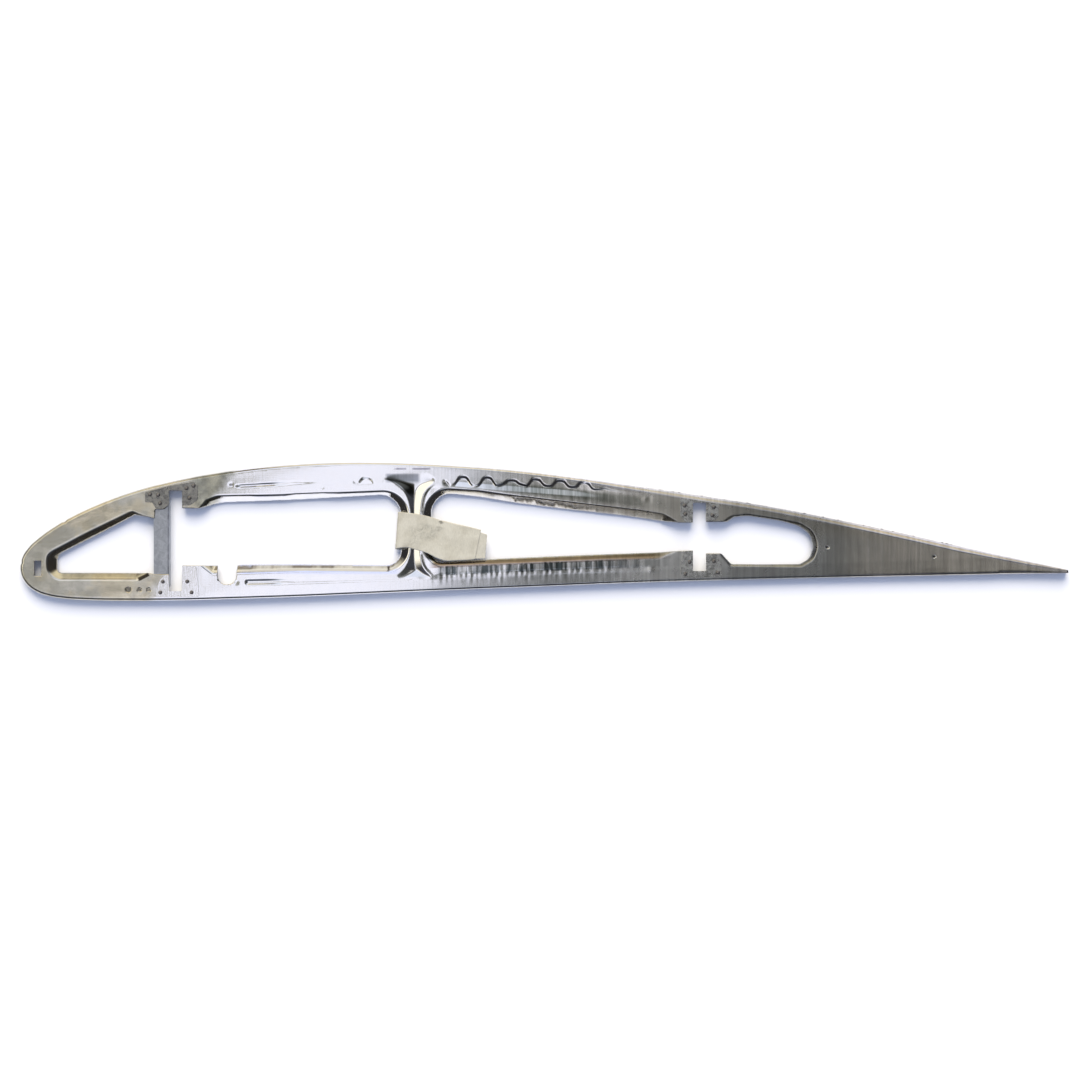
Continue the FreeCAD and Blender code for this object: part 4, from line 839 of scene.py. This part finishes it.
    # painted shade and dark reflection on the recess's fan, darker toward its wall
    left = N.math("SUBTRACT", px, 384.0)
    edge = N.math("SUBTRACT", N.math("SUBTRACT", py, 479.5), N.math("MULTIPLY", N.math("MULTIPLY", left, left), 0.024))
    over = N.math("SUBTRACT", N.math("SUBTRACT", py, 476.5), N.math("MULTIPLY", left, 0.2))
    grey = N.math("MULTIPLY", N.math("MULTIPLY", N.ramp(px, 384.0, 388.0), N.ramp(px, 421.0, 417.0)), N.math("MULTIPLY", N.ramp(py, 472.6, 475.0), N.ramp(py, 484.0, 480.0)))
    base = N.mul(base, N.mix(grey, (1, 1, 1), (0.45, 0.47, 0.50)))
    fan_shade = N.math("MULTIPLY", N.math("MULTIPLY", N.ramp(px, 383.5, 386.0), N.ramp(px, 415.0, 413.6)), N.math("MULTIPLY", N.ramp(over, 0.0, 2.5), N.ramp(edge, 1.2, -0.6)))
    fan_shade = N.math("MULTIPLY", fan_shade, N.ramp(py, 500.0, 492.0))
    base = N.mul(base, N.mix(fan_shade, (1, 1, 1), (0.12, 0.12, 0.10)))
    # painted darker reflection: a strip along the lower chord, under the bead
    low = N.math("MULTIPLY", N.ramp(px, 424.0, 446.0), N.ramp(N.math("MULTIPLY_ADD", px, 0.035, py), 590.5, 594.5))
    base = N.mul(base, N.mix(N.math("MULTIPLY", low, N.ramp(px, 640.0, 560.0, 0.3, 0.8)), (1, 1, 1), (0.66, 0.665, 0.67)))
    olive = N.mix(N.ramp(cloud2, 0.36, 0.64), (0.60, 0.575, 0.48), (0.77, 0.735, 0.62))
    patch = N.math("MULTIPLY", N.ramp(px, 186.0, 200.0), N.ramp(py, 512.0, 504.0))
    olive = N.mul(olive, N.mix(patch, (1, 1, 1), N.mix(N.ramp(mottle, 0.35, 0.65), (0.40, 0.43, 0.42), (0.66, 0.70, 0.68))))
    olive = N.mul(olive, N.mix(N.ramp(cloud, 0.4, 0.6), (0.9, 0.92, 0.98), (1.04, 1.0, 0.94)))
    base = N.mix(N.math("MULTIPLY", nose, 0.9), base, olive)
    # the painted dark reflection at the lower flange's run-out, again over the olive tone
    base = N.mul(base, N.mix(dark_reflection_sliver, (1, 1, 1), (0.10, 0.085, 0.075)))
    # painted highlights: bright rims round the two small holes in the tail
    for cx, cy in ((827.6, 547.3), (934.5, 556.6)):
        ex, ey = N.math("SUBTRACT", px, cx), N.math("SUBTRACT", py, cy)
        rr = N.math("SQRT", N.math("ADD", N.math("MULTIPLY", ex, ex), N.math("MULTIPLY", ey, ey)))
        base = N.mix(N.ramp(rr, 2.4, 1.7), base, (0.95, 0.95, 0.93))
    rough = N.math("ADD", N.ramp(mottle, 0.3, 0.7, 0.07, 0.11), N.math("MULTIPLY", tail, N.ramp(px, 800.0, 860.0, 0.20, 0.10)))
    rough = N.math("ADD", rough, N.math("MULTIPLY", nose, 0.10))
    n1 = N.bump(grain_x, 0.05, 0.0003)
    n2 = N.bump(grain_y, 0.06, 0.0003, n1)
    principled(N, base, rough, n2)
    return m


def plate_material(name, light, dark, rough=0.3):
    m, N = new_material(name)
    tc, s, px, py = grid_coords(N)
    mottle = N.noise(tc, 160.0, 4.0, 0.65, 0.5)
    smudge = N.noise(tc, 420.0, 2.0, 0.6)
    grain = N.noise(N.vmath("MULTIPLY", tc, (700.0, 60.0, 60.0)), 1.0, 3.0, 0.6)
    base = N.mix(N.ramp(mottle, 0.32, 0.68), dark, light)
    base = N.mul(base, N.mix(N.ramp(smudge, 0.62, 0.8), (1, 1, 1), (0.45, 0.44, 0.43)))
    r = N.ramp(mottle, 0.3, 0.7, rough - 0.06, rough + 0.1)
    principled(N, base, r, N.bump(grain, 0.15, 0.0003))
    return m


def rivet_material():
    m, N = new_material("rivet_metal")
    tc, s, px, py = grid_coords(N)
    n = N.noise(tc, 900.0, 3.0, 0.6)
    base = N.mix(N.ramp(n, 0.35, 0.65), (0.20, 0.19, 0.20), (0.42, 0.40, 0.40))
    principled(N, base, N.ramp(n, 0.3, 0.7, 0.28, 0.5), N.bump(n, 0.2, 0.0002))
    return m


def post_material():
    m, N = new_material("dull_sheet")
    tc, s, px, py = grid_coords(N)
    mottle = N.noise(tc, 120.0, 5.0, 0.62, 0.6)
    fleck = N.noise(tc, 600.0, 2.0, 0.6)
    base = N.mix(N.ramp(mottle, 0.3, 0.7), (0.33, 0.35, 0.385), (0.50, 0.525, 0.565))
    base = N.mul(base, N.mix(N.ramp(fleck, 0.6, 0.75), (1, 1, 1), (0.6, 0.6, 0.62)))
    principled(N, base, N.ramp(mottle, 0.3, 0.7, 0.42, 0.55), N.bump(fleck, 0.12, 0.0003), metallic=0.75)
    return m


def tape_material():
    m, N = new_material("masking_tape_paper")
    tc, s, px, py = grid_coords(N)
    crepe = N.noise(N.vmath("MULTIPLY", tc, (1500.0, 260.0, 260.0)), 1.0, 3.0, 0.7, 0.6)
    blotch = N.noise(tc, 55.0, 4.0, 0.6, 0.4)
    fibre = N.noise(tc, 2600.0, 2.0, 0.6)
    base = N.mix(N.ramp(blotch, 0.3, 0.7), (0.50, 0.467, 0.37), (0.60, 0.568, 0.465))
    base = N.mul(base, N.mix(N.ramp(crepe, 0.35, 0.65), (0.90, 0.90, 0.89), (1.04, 1.04, 1.03)))
    # dark patches: dirt, and painted shade where the tape turns over the post; a torn nick
    smear = N.noise(tc, 150.0, 5.0, 0.65, 0.8)
    for cx, cy, rx, ry, k in ((424.0, 532.0, 15.0, 9.0, 0.52), (412.0, 545.0, 9.0, 7.0, 0.35), (441.0, 522.4, 2.6, 1.8, 1.4), (438.5, 529.0, 5.0, 3.0, 0.5)):
        ex = N.math("DIVIDE", N.math("SUBTRACT", px, cx), rx)
        ey = N.math("DIVIDE", N.math("SUBTRACT", py, cy), ry)
        rr = N.math("ADD", N.math("MULTIPLY", ex, ex), N.math("MULTIPLY", ey, ey))
        grime_and_shade = N.math("MULTIPLY", N.ramp(rr, 1.4, 0.2), N.ramp(smear, 0.40, 0.62, 0.15 * k, k), clamp=True)
        base = N.mul(base, N.mix(grime_and_shade, (1, 1, 1), (0.42, 0.42, 0.42)))
    h = N.math("MULTIPLY_ADD", crepe, 1.0, N.math("MULTIPLY", fibre, 0.25))
    principled(N, base, 0.82, N.bump(h, 0.5, 0.0004), metallic=0.0)
    return m


# -------------------------------------------------------------- other pieces
def plate(name, pts, z0, z1, rim=0.14):
    """Flat plate with softened edges, from a rounded outline."""
    line = rounded(pts, 2.0, 0.6)
    bm = bmesh.new()
    lower = [bm.verts.new((x * 0.001, y * 0.001, z0 * 0.001)) for x, y in line]
    f = bm.faces.new(lower)
    if f.normal.z > 0:
        f.normal_flip()
    bm.normal_update()
    r = bmesh.ops.extrude_face_region(bm, geom=[f])
    top = [v for v in r["geom"] if isinstance(v, bmesh.types.BMVert)]
    bmesh.ops.translate(bm, verts=top, vec=(0, 0, (z1 - z0) * 0.001))
    bmesh.ops.recalc_face_normals(bm, faces=bm.faces)
    caps = [e for e in bm.edges if abs(e.verts[0].co.z - e.verts[1].co.z) < 1e-7]
    bmesh.ops.bevel(bm, geom=caps, offset=rim * 0.001, segments=2, profile=0.5, affect="EDGES", clamp_overlap=True)
    bmesh.ops.triangulate(bm, faces=[f for f in bm.faces if len(f.verts) > 4])
    me = bpy.data.meshes.new(name)
    bm.to_mesh(me)
    bm.free()
    ob = bpy.data.objects.new(name, me)
    bpy.context.scene.collection.objects.link(ob)
    return ob


def lathe(bm, c, prof, n=24):
    """Solid of revolution about z at c from a closed profile (r, z) in mm."""
    rings = []
    for r, z in prof:
        if r < 1e-6:
            rings.append([bm.verts.new((c[0] * 0.001, c[1] * 0.001, z * 0.001))])
        else:
            rings.append([bm.verts.new(((c[0] + r * math.cos(2 * math.pi * i / n)) * 0.001,
                                        (c[1] + r * math.sin(2 * math.pi * i / n)) * 0.001, z * 0.001)) for i in range(n)])
    for a, b in zip(rings, rings[1:]):
        for i in range(n):
            j = (i + 1) % n
            q = [a[i % len(a)], a[j % len(a)], b[j % len(b)], b[i % len(b)]]
            q = [v for k, v in enumerate(q) if v not in q[:k]]
            if len(q) > 2:
                f = bm.faces.new(q)
                f.smooth = True


def rivet_group(name, places):
    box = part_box(name)
    z_top, z_low = box[1].z * 1000, box[0].z * 1000
    seat = z_top - 1.3
    bm = bmesh.new()
    for x, y in places:
        c = g(x, y)
        dome = [(2.9 * math.cos(a), seat + 0.25 + 1.05 * math.sin(a)) for a in np.radians([0, 22, 44, 62, 78])]
        prof = [(0, z_top)] + dome[::-1] + [(2.86, seat), (1.6, seat), (1.6, z_low + 1.4), (2.3, z_low + 1.3), (2.42, z_low + 0.9),
                                           (2.3, z_low + 0.3), (1.9, z_low), (0, z_low)]
        lathe(bm, c, prof)
    bmesh.ops.recalc_face_normals(bm, faces=bm.faces)
    me = bpy.data.meshes.new(name + "_formed")
    bm.to_mesh(me)
    bm.free()
    ob = bpy.data.objects.new(name + "_formed", me)
    bpy.context.scene.collection.objects.link(ob)
    return ob


def build_post():
    """Angle: one leg under the web, the other standing beside the slot."""
    lo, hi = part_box("front_post")
    x0, x1, y0, y1, z0, z1 = [v * 1000 for v in (lo.x, hi.x, lo.y, hi.y, lo.z, hi.z)]
    t, r = 1.0, 2.4
    outer = [(x0, z1)] + [(x1 - r + r * math.sin(a), z1 - r + r * math.cos(a)) for a in np.radians([0, 15, 30, 45, 60, 75, 90])] + [(x1, z0)]
    inner = [(x1 - t, z0)] + [(x1 - r + (r - t) * math.sin(a), z1 - r + (r - t) * math.cos(a)) for a in np.radians([90, 70, 50, 30, 15, 0])] + [(x0, z1 - t)]
    prof = outer + inner
    ny = 40
    verts, faces = [], []
    for k in range(ny + 1):
        y = y0 + (y1 - y0) * k / ny
        sag = 0.18 * math.sin(k / ny * 9.0) * math.sin(math.pi * k / ny)
        for x, z in prof:
            verts.append((x * 0.001, y * 0.001, (z + (sag - 0.18) * (1 if z > z1 - 2 else 0)) * 0.001))
    m = len(prof)
    for k in range(ny):
        for i in range(m):
            j = (i + 1) % m
            faces.append((k * m + i, k * m + j, (k + 1) * m + j, (k + 1) * m + i))
    faces.append(tuple(range(m)))
    faces.append(tuple(range(ny * m, (ny + 1) * m))[::-1])
    ob = mesh_object("front_post_angle", verts, faces, False)
    bm = bmesh.new()
    bm.from_mesh(ob.data)
    bmesh.ops.recalc_face_normals(bm, faces=bm.faces)
    bm.to_mesh(ob.data)
    bm.free()
    return ob


def catmull(points, n):
    """Smooth line through points (rows), n samples per span by length."""
    P = np.array(points, float)
    P = np.vstack([2 * P[0] - P[1], P, 2 * P[-1] - P[-2]])
    out = []
    for i in range(1, len(P) - 2):
        p0, p1, p2, p3 = P[i - 1], P[i], P[i + 1], P[i + 2]
        L = np.linalg.norm((p2 - p1)[:2])
        k = max(2, int(round(L / n)))
        for s in range(k):
            t = s / k
            out.append(0.5 * ((2 * p1) + (-p0 + p2) * t + (2 * p0 - 5 * p1 + 4 * p2 - p3) * t * t + (-p0 + 3 * p1 - 3 * p2 + p3) * t ** 3))
    out.append(P[-2])
    return np.array(out)


def build_tape():
    """One strip of crepe paper tape: round the post, both ends stuck together."""
    # (upper edge x, y, lower edge x, y in grid units, z mm), from the upper free end
    st = [
        (481.0, 529.8, 475.0, 559.2, 16.9), (474.0, 528.0, 468.5, 560.0, 16.95), (462.0, 525.2, 457.0, 560.6, 16.9),
        (452.0, 522.9, 446.5, 561.0, 16.9), (445.0, 521.1, 440.0, 559.4, 16.95), (441.0, 520.3, 434.5, 557.0, 16.75),
        (434.0, 518.0, 426.5, 553.0, 16.5), (425.5, 515.6, 419.5, 550.8, 16.3), (416.0, 513.8, 413.0, 549.0, 16.25),
        (408.0, 512.7, 406.5, 547.6, 16.2), (402.5, 512.2, 401.0, 547.9, 15.6), (399.0, 512.0, 396.6, 548.6, 13.6),
        (398.0, 512.0, 395.2, 549.0, 10.5), (398.0, 512.2, 395.2, 549.2, 6.5), (399.6, 512.4, 397.0, 549.6, 2.6),
        (403.6, 513.0, 401.5, 550.0, 0.9), (412.0, 515.0, 409.5, 551.6, 0.7), (422.0, 517.2, 419.0, 553.6, 0.8),
        (430.5, 519.2, 427.5, 555.6, 2.4), (436.0, 520.6, 433.0, 557.2, 7.5), (440.5, 521.6, 437.5, 558.2, 13.2),
        (446.0, 522.9, 442.0, 559.2, 15.7), (456.0, 525.6, 451.0, 559.6, 16.2), (468.0, 528.8, 462.5, 559.4, 16.3),
        (478.0, 531.6, 473.0, 558.9, 16.2), (484.0, 533.6, 480.4, 558.8, 15.6), (487.2, 534.6, 485.0, 558.6, 14.6)]
    rows = []
    for ux, uy, lx, ly, z in st:
        u, lo = g(ux, uy), g(lx, ly)
        rows.append((*u, z, *lo, z))
    R = np.array(rows)
    up, lw = catmull(R[:, [0, 1, 2]], 0.9), None
    # sample both edges at the same places
    n = len(up)
    T = np.linspace(0, len(R) - 1, n)

    def at(cols):
        P = np.vstack([2 * R[0] - R[1], R, 2 * R[-1] - R[-2]])[:, cols]
        o = []
        for t in T:
            i = min(int(t), len(R) - 2)
            f = t - i
            p0, p1, p2, p3 = P[i], P[i + 1], P[i + 2], P[i + 3]
            o.append(0.5 * ((2 * p1) + (-p0 + p2) * f + (2 * p0 - 5 * p1 + 4 * p2 - p3) * f * f + (-p0 + 3 * p1 - 3 * p2 + p3) * f ** 3))
        return np.array(o)

    up, lw = at([0, 1, 2]), at([3, 4, 5])
    m = 34
    ph = RNG.uniform(0, 6.283, 12)
    verts = []
    for i in range(n):
        for j in range(m + 1):
            t = j / m
            p = up[i] * (1 - t) + lw[i] * t
            s = T[i]
            wr = 0.0
            for k in range(5):
                wr += 0.055 * math.sin((1.3 + 0.9 * k) * s * 1.9 + ph[k] + 2.2 * math.sin(2.1 * t + ph[k + 5]))
            free = max(0.0, 1 - abs(s - 2.5) / 4.0) + max(0.0, (s - 21) / 4)
            wr += 0.22 * free * math.sin(3.0 * t * math.pi + ph[10] + 0.5 * s)
            ex = 0.18 * math.sin(37 * t + 5 * s)
            q = np.array([p[0] + (ex if i in (0, n - 1) else 0), p[1], p[2] + (wr * 0.6 if p[2] > 14 else wr * 0.35)])
            q[2] = min(max(q[2], 0.45), 17.35)
            verts.append(q * 0.001)
    faces = [(i * (m + 1) + j, i * (m + 1) + j + 1, (i + 1) * (m + 1) + j + 1, (i + 1) * (m + 1) + j) for i in range(n - 1) for j in range(m)]
    ob = mesh_object("paper_tape", verts, faces)
    s = ob.modifiers.new("gauge", "SOLIDIFY")
    s.thickness, s.offset, s.use_even_offset = 0.00026, 0, False
    apply_modifiers(ob)
    V = np.array(verts).reshape(n, m + 1, 3)
    mid = V[:, m // 2]
    length = np.linalg.norm(np.diff(mid, axis=0), axis=1).sum()
    width = np.median(np.linalg.norm(V[:, 0] - V[:, -1], axis=1))
    return ob, float(width), float(length)


# -------------------------------------------------------------------- camera
H = 3.4
span = 1080 * GRID * 0.001
cam = bpy.data.cameras.new("camera")
cam.sensor_width = 36.0
cam.lens = 36.0 * H / span
cam.clip_end = 50
cam_ob = bpy.data.objects.new("camera", cam)
cam_ob.location = ((540 - GX0) * GRID * 0.001, (GY0 - 540) * GRID * 0.001, TOP * 0.001 + H)
cam_ob.rotation_euler = (0, 0, 0)
bpy.context.scene.collection.objects.link(cam_ob)
bpy.context.scene.camera = cam_ob

# --------------------------------------------------------------------- floor
bpy.ops.mesh.primitive_plane_add(size=14)
floor = bpy.context.object
floor.name = "floor"
m, N = new_material("floor_paper")
tc = N.node("ShaderNodeTexCoord").outputs["Object"]
n = N.noise(tc, 3.0, 2.0, 0.5)
principled(N, N.mix(n, (0.90, 0.90, 0.905), (0.925, 0.925, 0.925)), 0.9, metallic=0.0)
floor.data.materials.append(m)

# --------------------------------------------------------------------- light
world = bpy.data.worlds.new("studio")
bpy.context.scene.world = world
world.use_nodes = True
if hasattr(world, "cycles_visibility"):
    world.cycles_visibility.diffuse = False
W = Nodes(world.node_tree)
d = W.sep(W.node("ShaderNodeTexCoord").outputs["Generated"])
dx, dy, dz = d[0], d[1], d[2]
flat = W.math("SQRT", W.math("ADD", W.math("MULTIPLY", dx, dx), W.math("MULTIPLY", dy, dy)))
ax = W.math("DIVIDE", dx, W.math("MAXIMUM", flat, 0.001))
ay = W.math("DIVIDE", dy, W.math("MAXIMUM", flat, 0.001))
sky = W.mix(W.math("MULTIPLY", W.math("MULTIPLY", W.ramp(ax, 0.10, 0.55), W.ramp(ay, 0.86, 0.70)), W.ramp(dz, 0.985, 0.955)), (0.80, 0.85, 0.97), (0.05, 0.052, 0.06))
cream = W.mix(W.math("MULTIPLY", W.ramp(dz, 0.64, 0.71), W.ramp(ay, -0.45, -0.15)), (0.05, 0.045, 0.04), (1.25, 1.16, 0.95))
sky = W.mix(W.ramp(ax, -0.30, -0.8), sky, cream)
sky = W.mix(W.math("MULTIPLY", W.ramp(ay, -0.25, -0.75), W.ramp(dz, 0.94, 0.80)), sky, (0.06, 0.065, 0.085))
back = W.math("MAXIMUM", W.ramp(ax, 0.20, 0.08), W.ramp(ay, 0.78, 0.90))
sky = W.mix(W.math("MULTIPLY", W.math("MULTIPLY", W.ramp(ay, 0.4, 0.85), back), W.ramp(dz, 0.85, 0.76)), sky, (0.92, 0.82, 0.62))
gap = W.math("MULTIPLY", W.ramp(ax, -0.215, -0.235), W.ramp(ax, -0.34, -0.30))
gap = W.math("MULTIPLY", gap, W.ramp(ay, 0.6, 0.8))
sky = W.mix(W.math("MULTIPLY", gap, W.ramp(dz, 0.90, 0.82)), sky, (0.22, 0.19, 0.16))
# overhead panel, as seen in flat sheet: warm end, white middle, dark far end
u = W.math("MULTIPLY_ADD", dy, -0.72, dx)
side = W.math("ABSOLUTE", dy)
over = W.mix(W.math("MAXIMUM", W.ramp(u, -0.1530, -0.1480), W.ramp(side, 0.09, 0.13)), (0.30, 0.292, 0.242), (1.02, 1.02, 1.12))
over = W.mix(W.ramp(dx, -0.056, -0.018), over, (0.40, 0.41, 0.42))
over = W.mix(W.ramp(dx, -0.025, 0.050), over, (0.155, 0.158, 0.150))
over = W.mix(W.ramp(dx, 0.124, 0.136), over, (0.222, 0.217, 0.208))
over = W.mix(W.math("MULTIPLY", W.ramp(dx, 0.165, 0.192), W.ramp(side, 0.10, 0.055)), over, (0.60, 0.58, 0.54))
over = W.mix(W.math("MULTIPLY", W.math("MULTIPLY", W.ramp(dx, 0.05, 0.11), W.ramp(side, 0.07, 0.11)), W.ramp(ay, 0.86, 0.70)), over, (0.05, 0.052, 0.048))
over = W.mix(W.ramp(dx, 0.255, 0.30), over, (0.04, 0.038, 0.036))
up = W.mix(W.ramp(flat, 0.42, 0.30), sky, over)
gold = W.mix(W.ramp(dz, 0.06, 0.22), (0.24, 0.19, 0.115), (1.0, 0.90, 0.66))
gold = W.mix(W.ramp(dz, 0.36, 0.52), gold, (0.58, 0.47, 0.27))
hor = W.mix(W.math("MULTIPLY", W.ramp(ay, 0.45, 0.92), back), (0.030, 0.028, 0.027), gold)
hor = W.mix(gap, hor, (0.10, 0.075, 0.05))
col = W.mix(W.ramp(dz, 0.40, 0.62), hor, up)
bg = W.node("ShaderNodeBackground")
W.put(bg.inputs[0], col)
bg.inputs[1].default_value = 1.0
wo = W.node("ShaderNodeOutputWorld")
W.t.links.new(bg.outputs[0], wo.inputs[0])




def distant(name, energy, angle, color, zenith):
    """Soft light from the top of the picture side, zenith in degrees; it has no mirror image in the metal."""
    lt = bpy.data.lights.new(name, "SUN")
    lt.energy, lt.angle, lt.color = energy, angle, color
    ob = bpy.data.objects.new(name, lt)
    z = math.radians(zenith)
    ob.rotation_euler = Vector((0.06 * math.sin(z), -math.sin(z), -math.cos(z))).to_track_quat("-Z", "Y").to_euler()
    ob.visible_glossy = False
    bpy.context.scene.collection.objects.link(ob)


distant("key", 4.0, 0.85, (1.0, 0.92, 0.76), 51)
distant("fill", 2.1, 2.3, (0.60, 0.70, 1.0), 0)

bpy.context.scene.view_settings.view_transform = "Standard"
bpy.context.scene.view_settings.look = "None"
bpy.context.scene.view_settings.exposure = 0.0

# -------------------------------------------------------------------- pieces
rib = build_rib()
rib.data.materials.clear()
rib.data.materials.append(sheet_material())
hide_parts("rib_pressing")
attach(rib, "root")

plate_light = plate_material("doubler_bright", (0.96, 0.96, 0.975), (0.90, 0.90, 0.92), 0.08)
plate_dull = plate_material("doubler_dull", (0.40, 0.395, 0.37), (0.20, 0.20, 0.195), 0.26)
plate_dark = plate_material("doubler_dark", (0.70, 0.71, 0.69), (0.42, 0.42, 0.42), 0.24)
for name, pts in DOUBLERS.items():
    lo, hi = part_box(name)
    ob = plate(name + "_plate", pts, lo.z * 1000, hi.z * 1000)
    ob.data.materials.append({"front_lower_doubler": plate_light, "front_upper_doubler": plate_dull}.get(name, plate_dark))
    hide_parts(name)
    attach(ob, "root")

rm = rivet_material()
for name, places in RIVETS.items():
    ob = rivet_group(name, places)
    ob.data.materials.append(rm)
    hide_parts(name)
    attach(ob, "root")

post = build_post()
post.data.materials.append(post_material())
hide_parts("front_post")
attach(post, "root")

tape, tape_w, tape_l = build_tape()
tape.data.materials.append(tape_material())
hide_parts("masking_tape_label")
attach(tape, "root")
print("tape strip width %.4f length %.4f m" % (tape_w, tape_l))
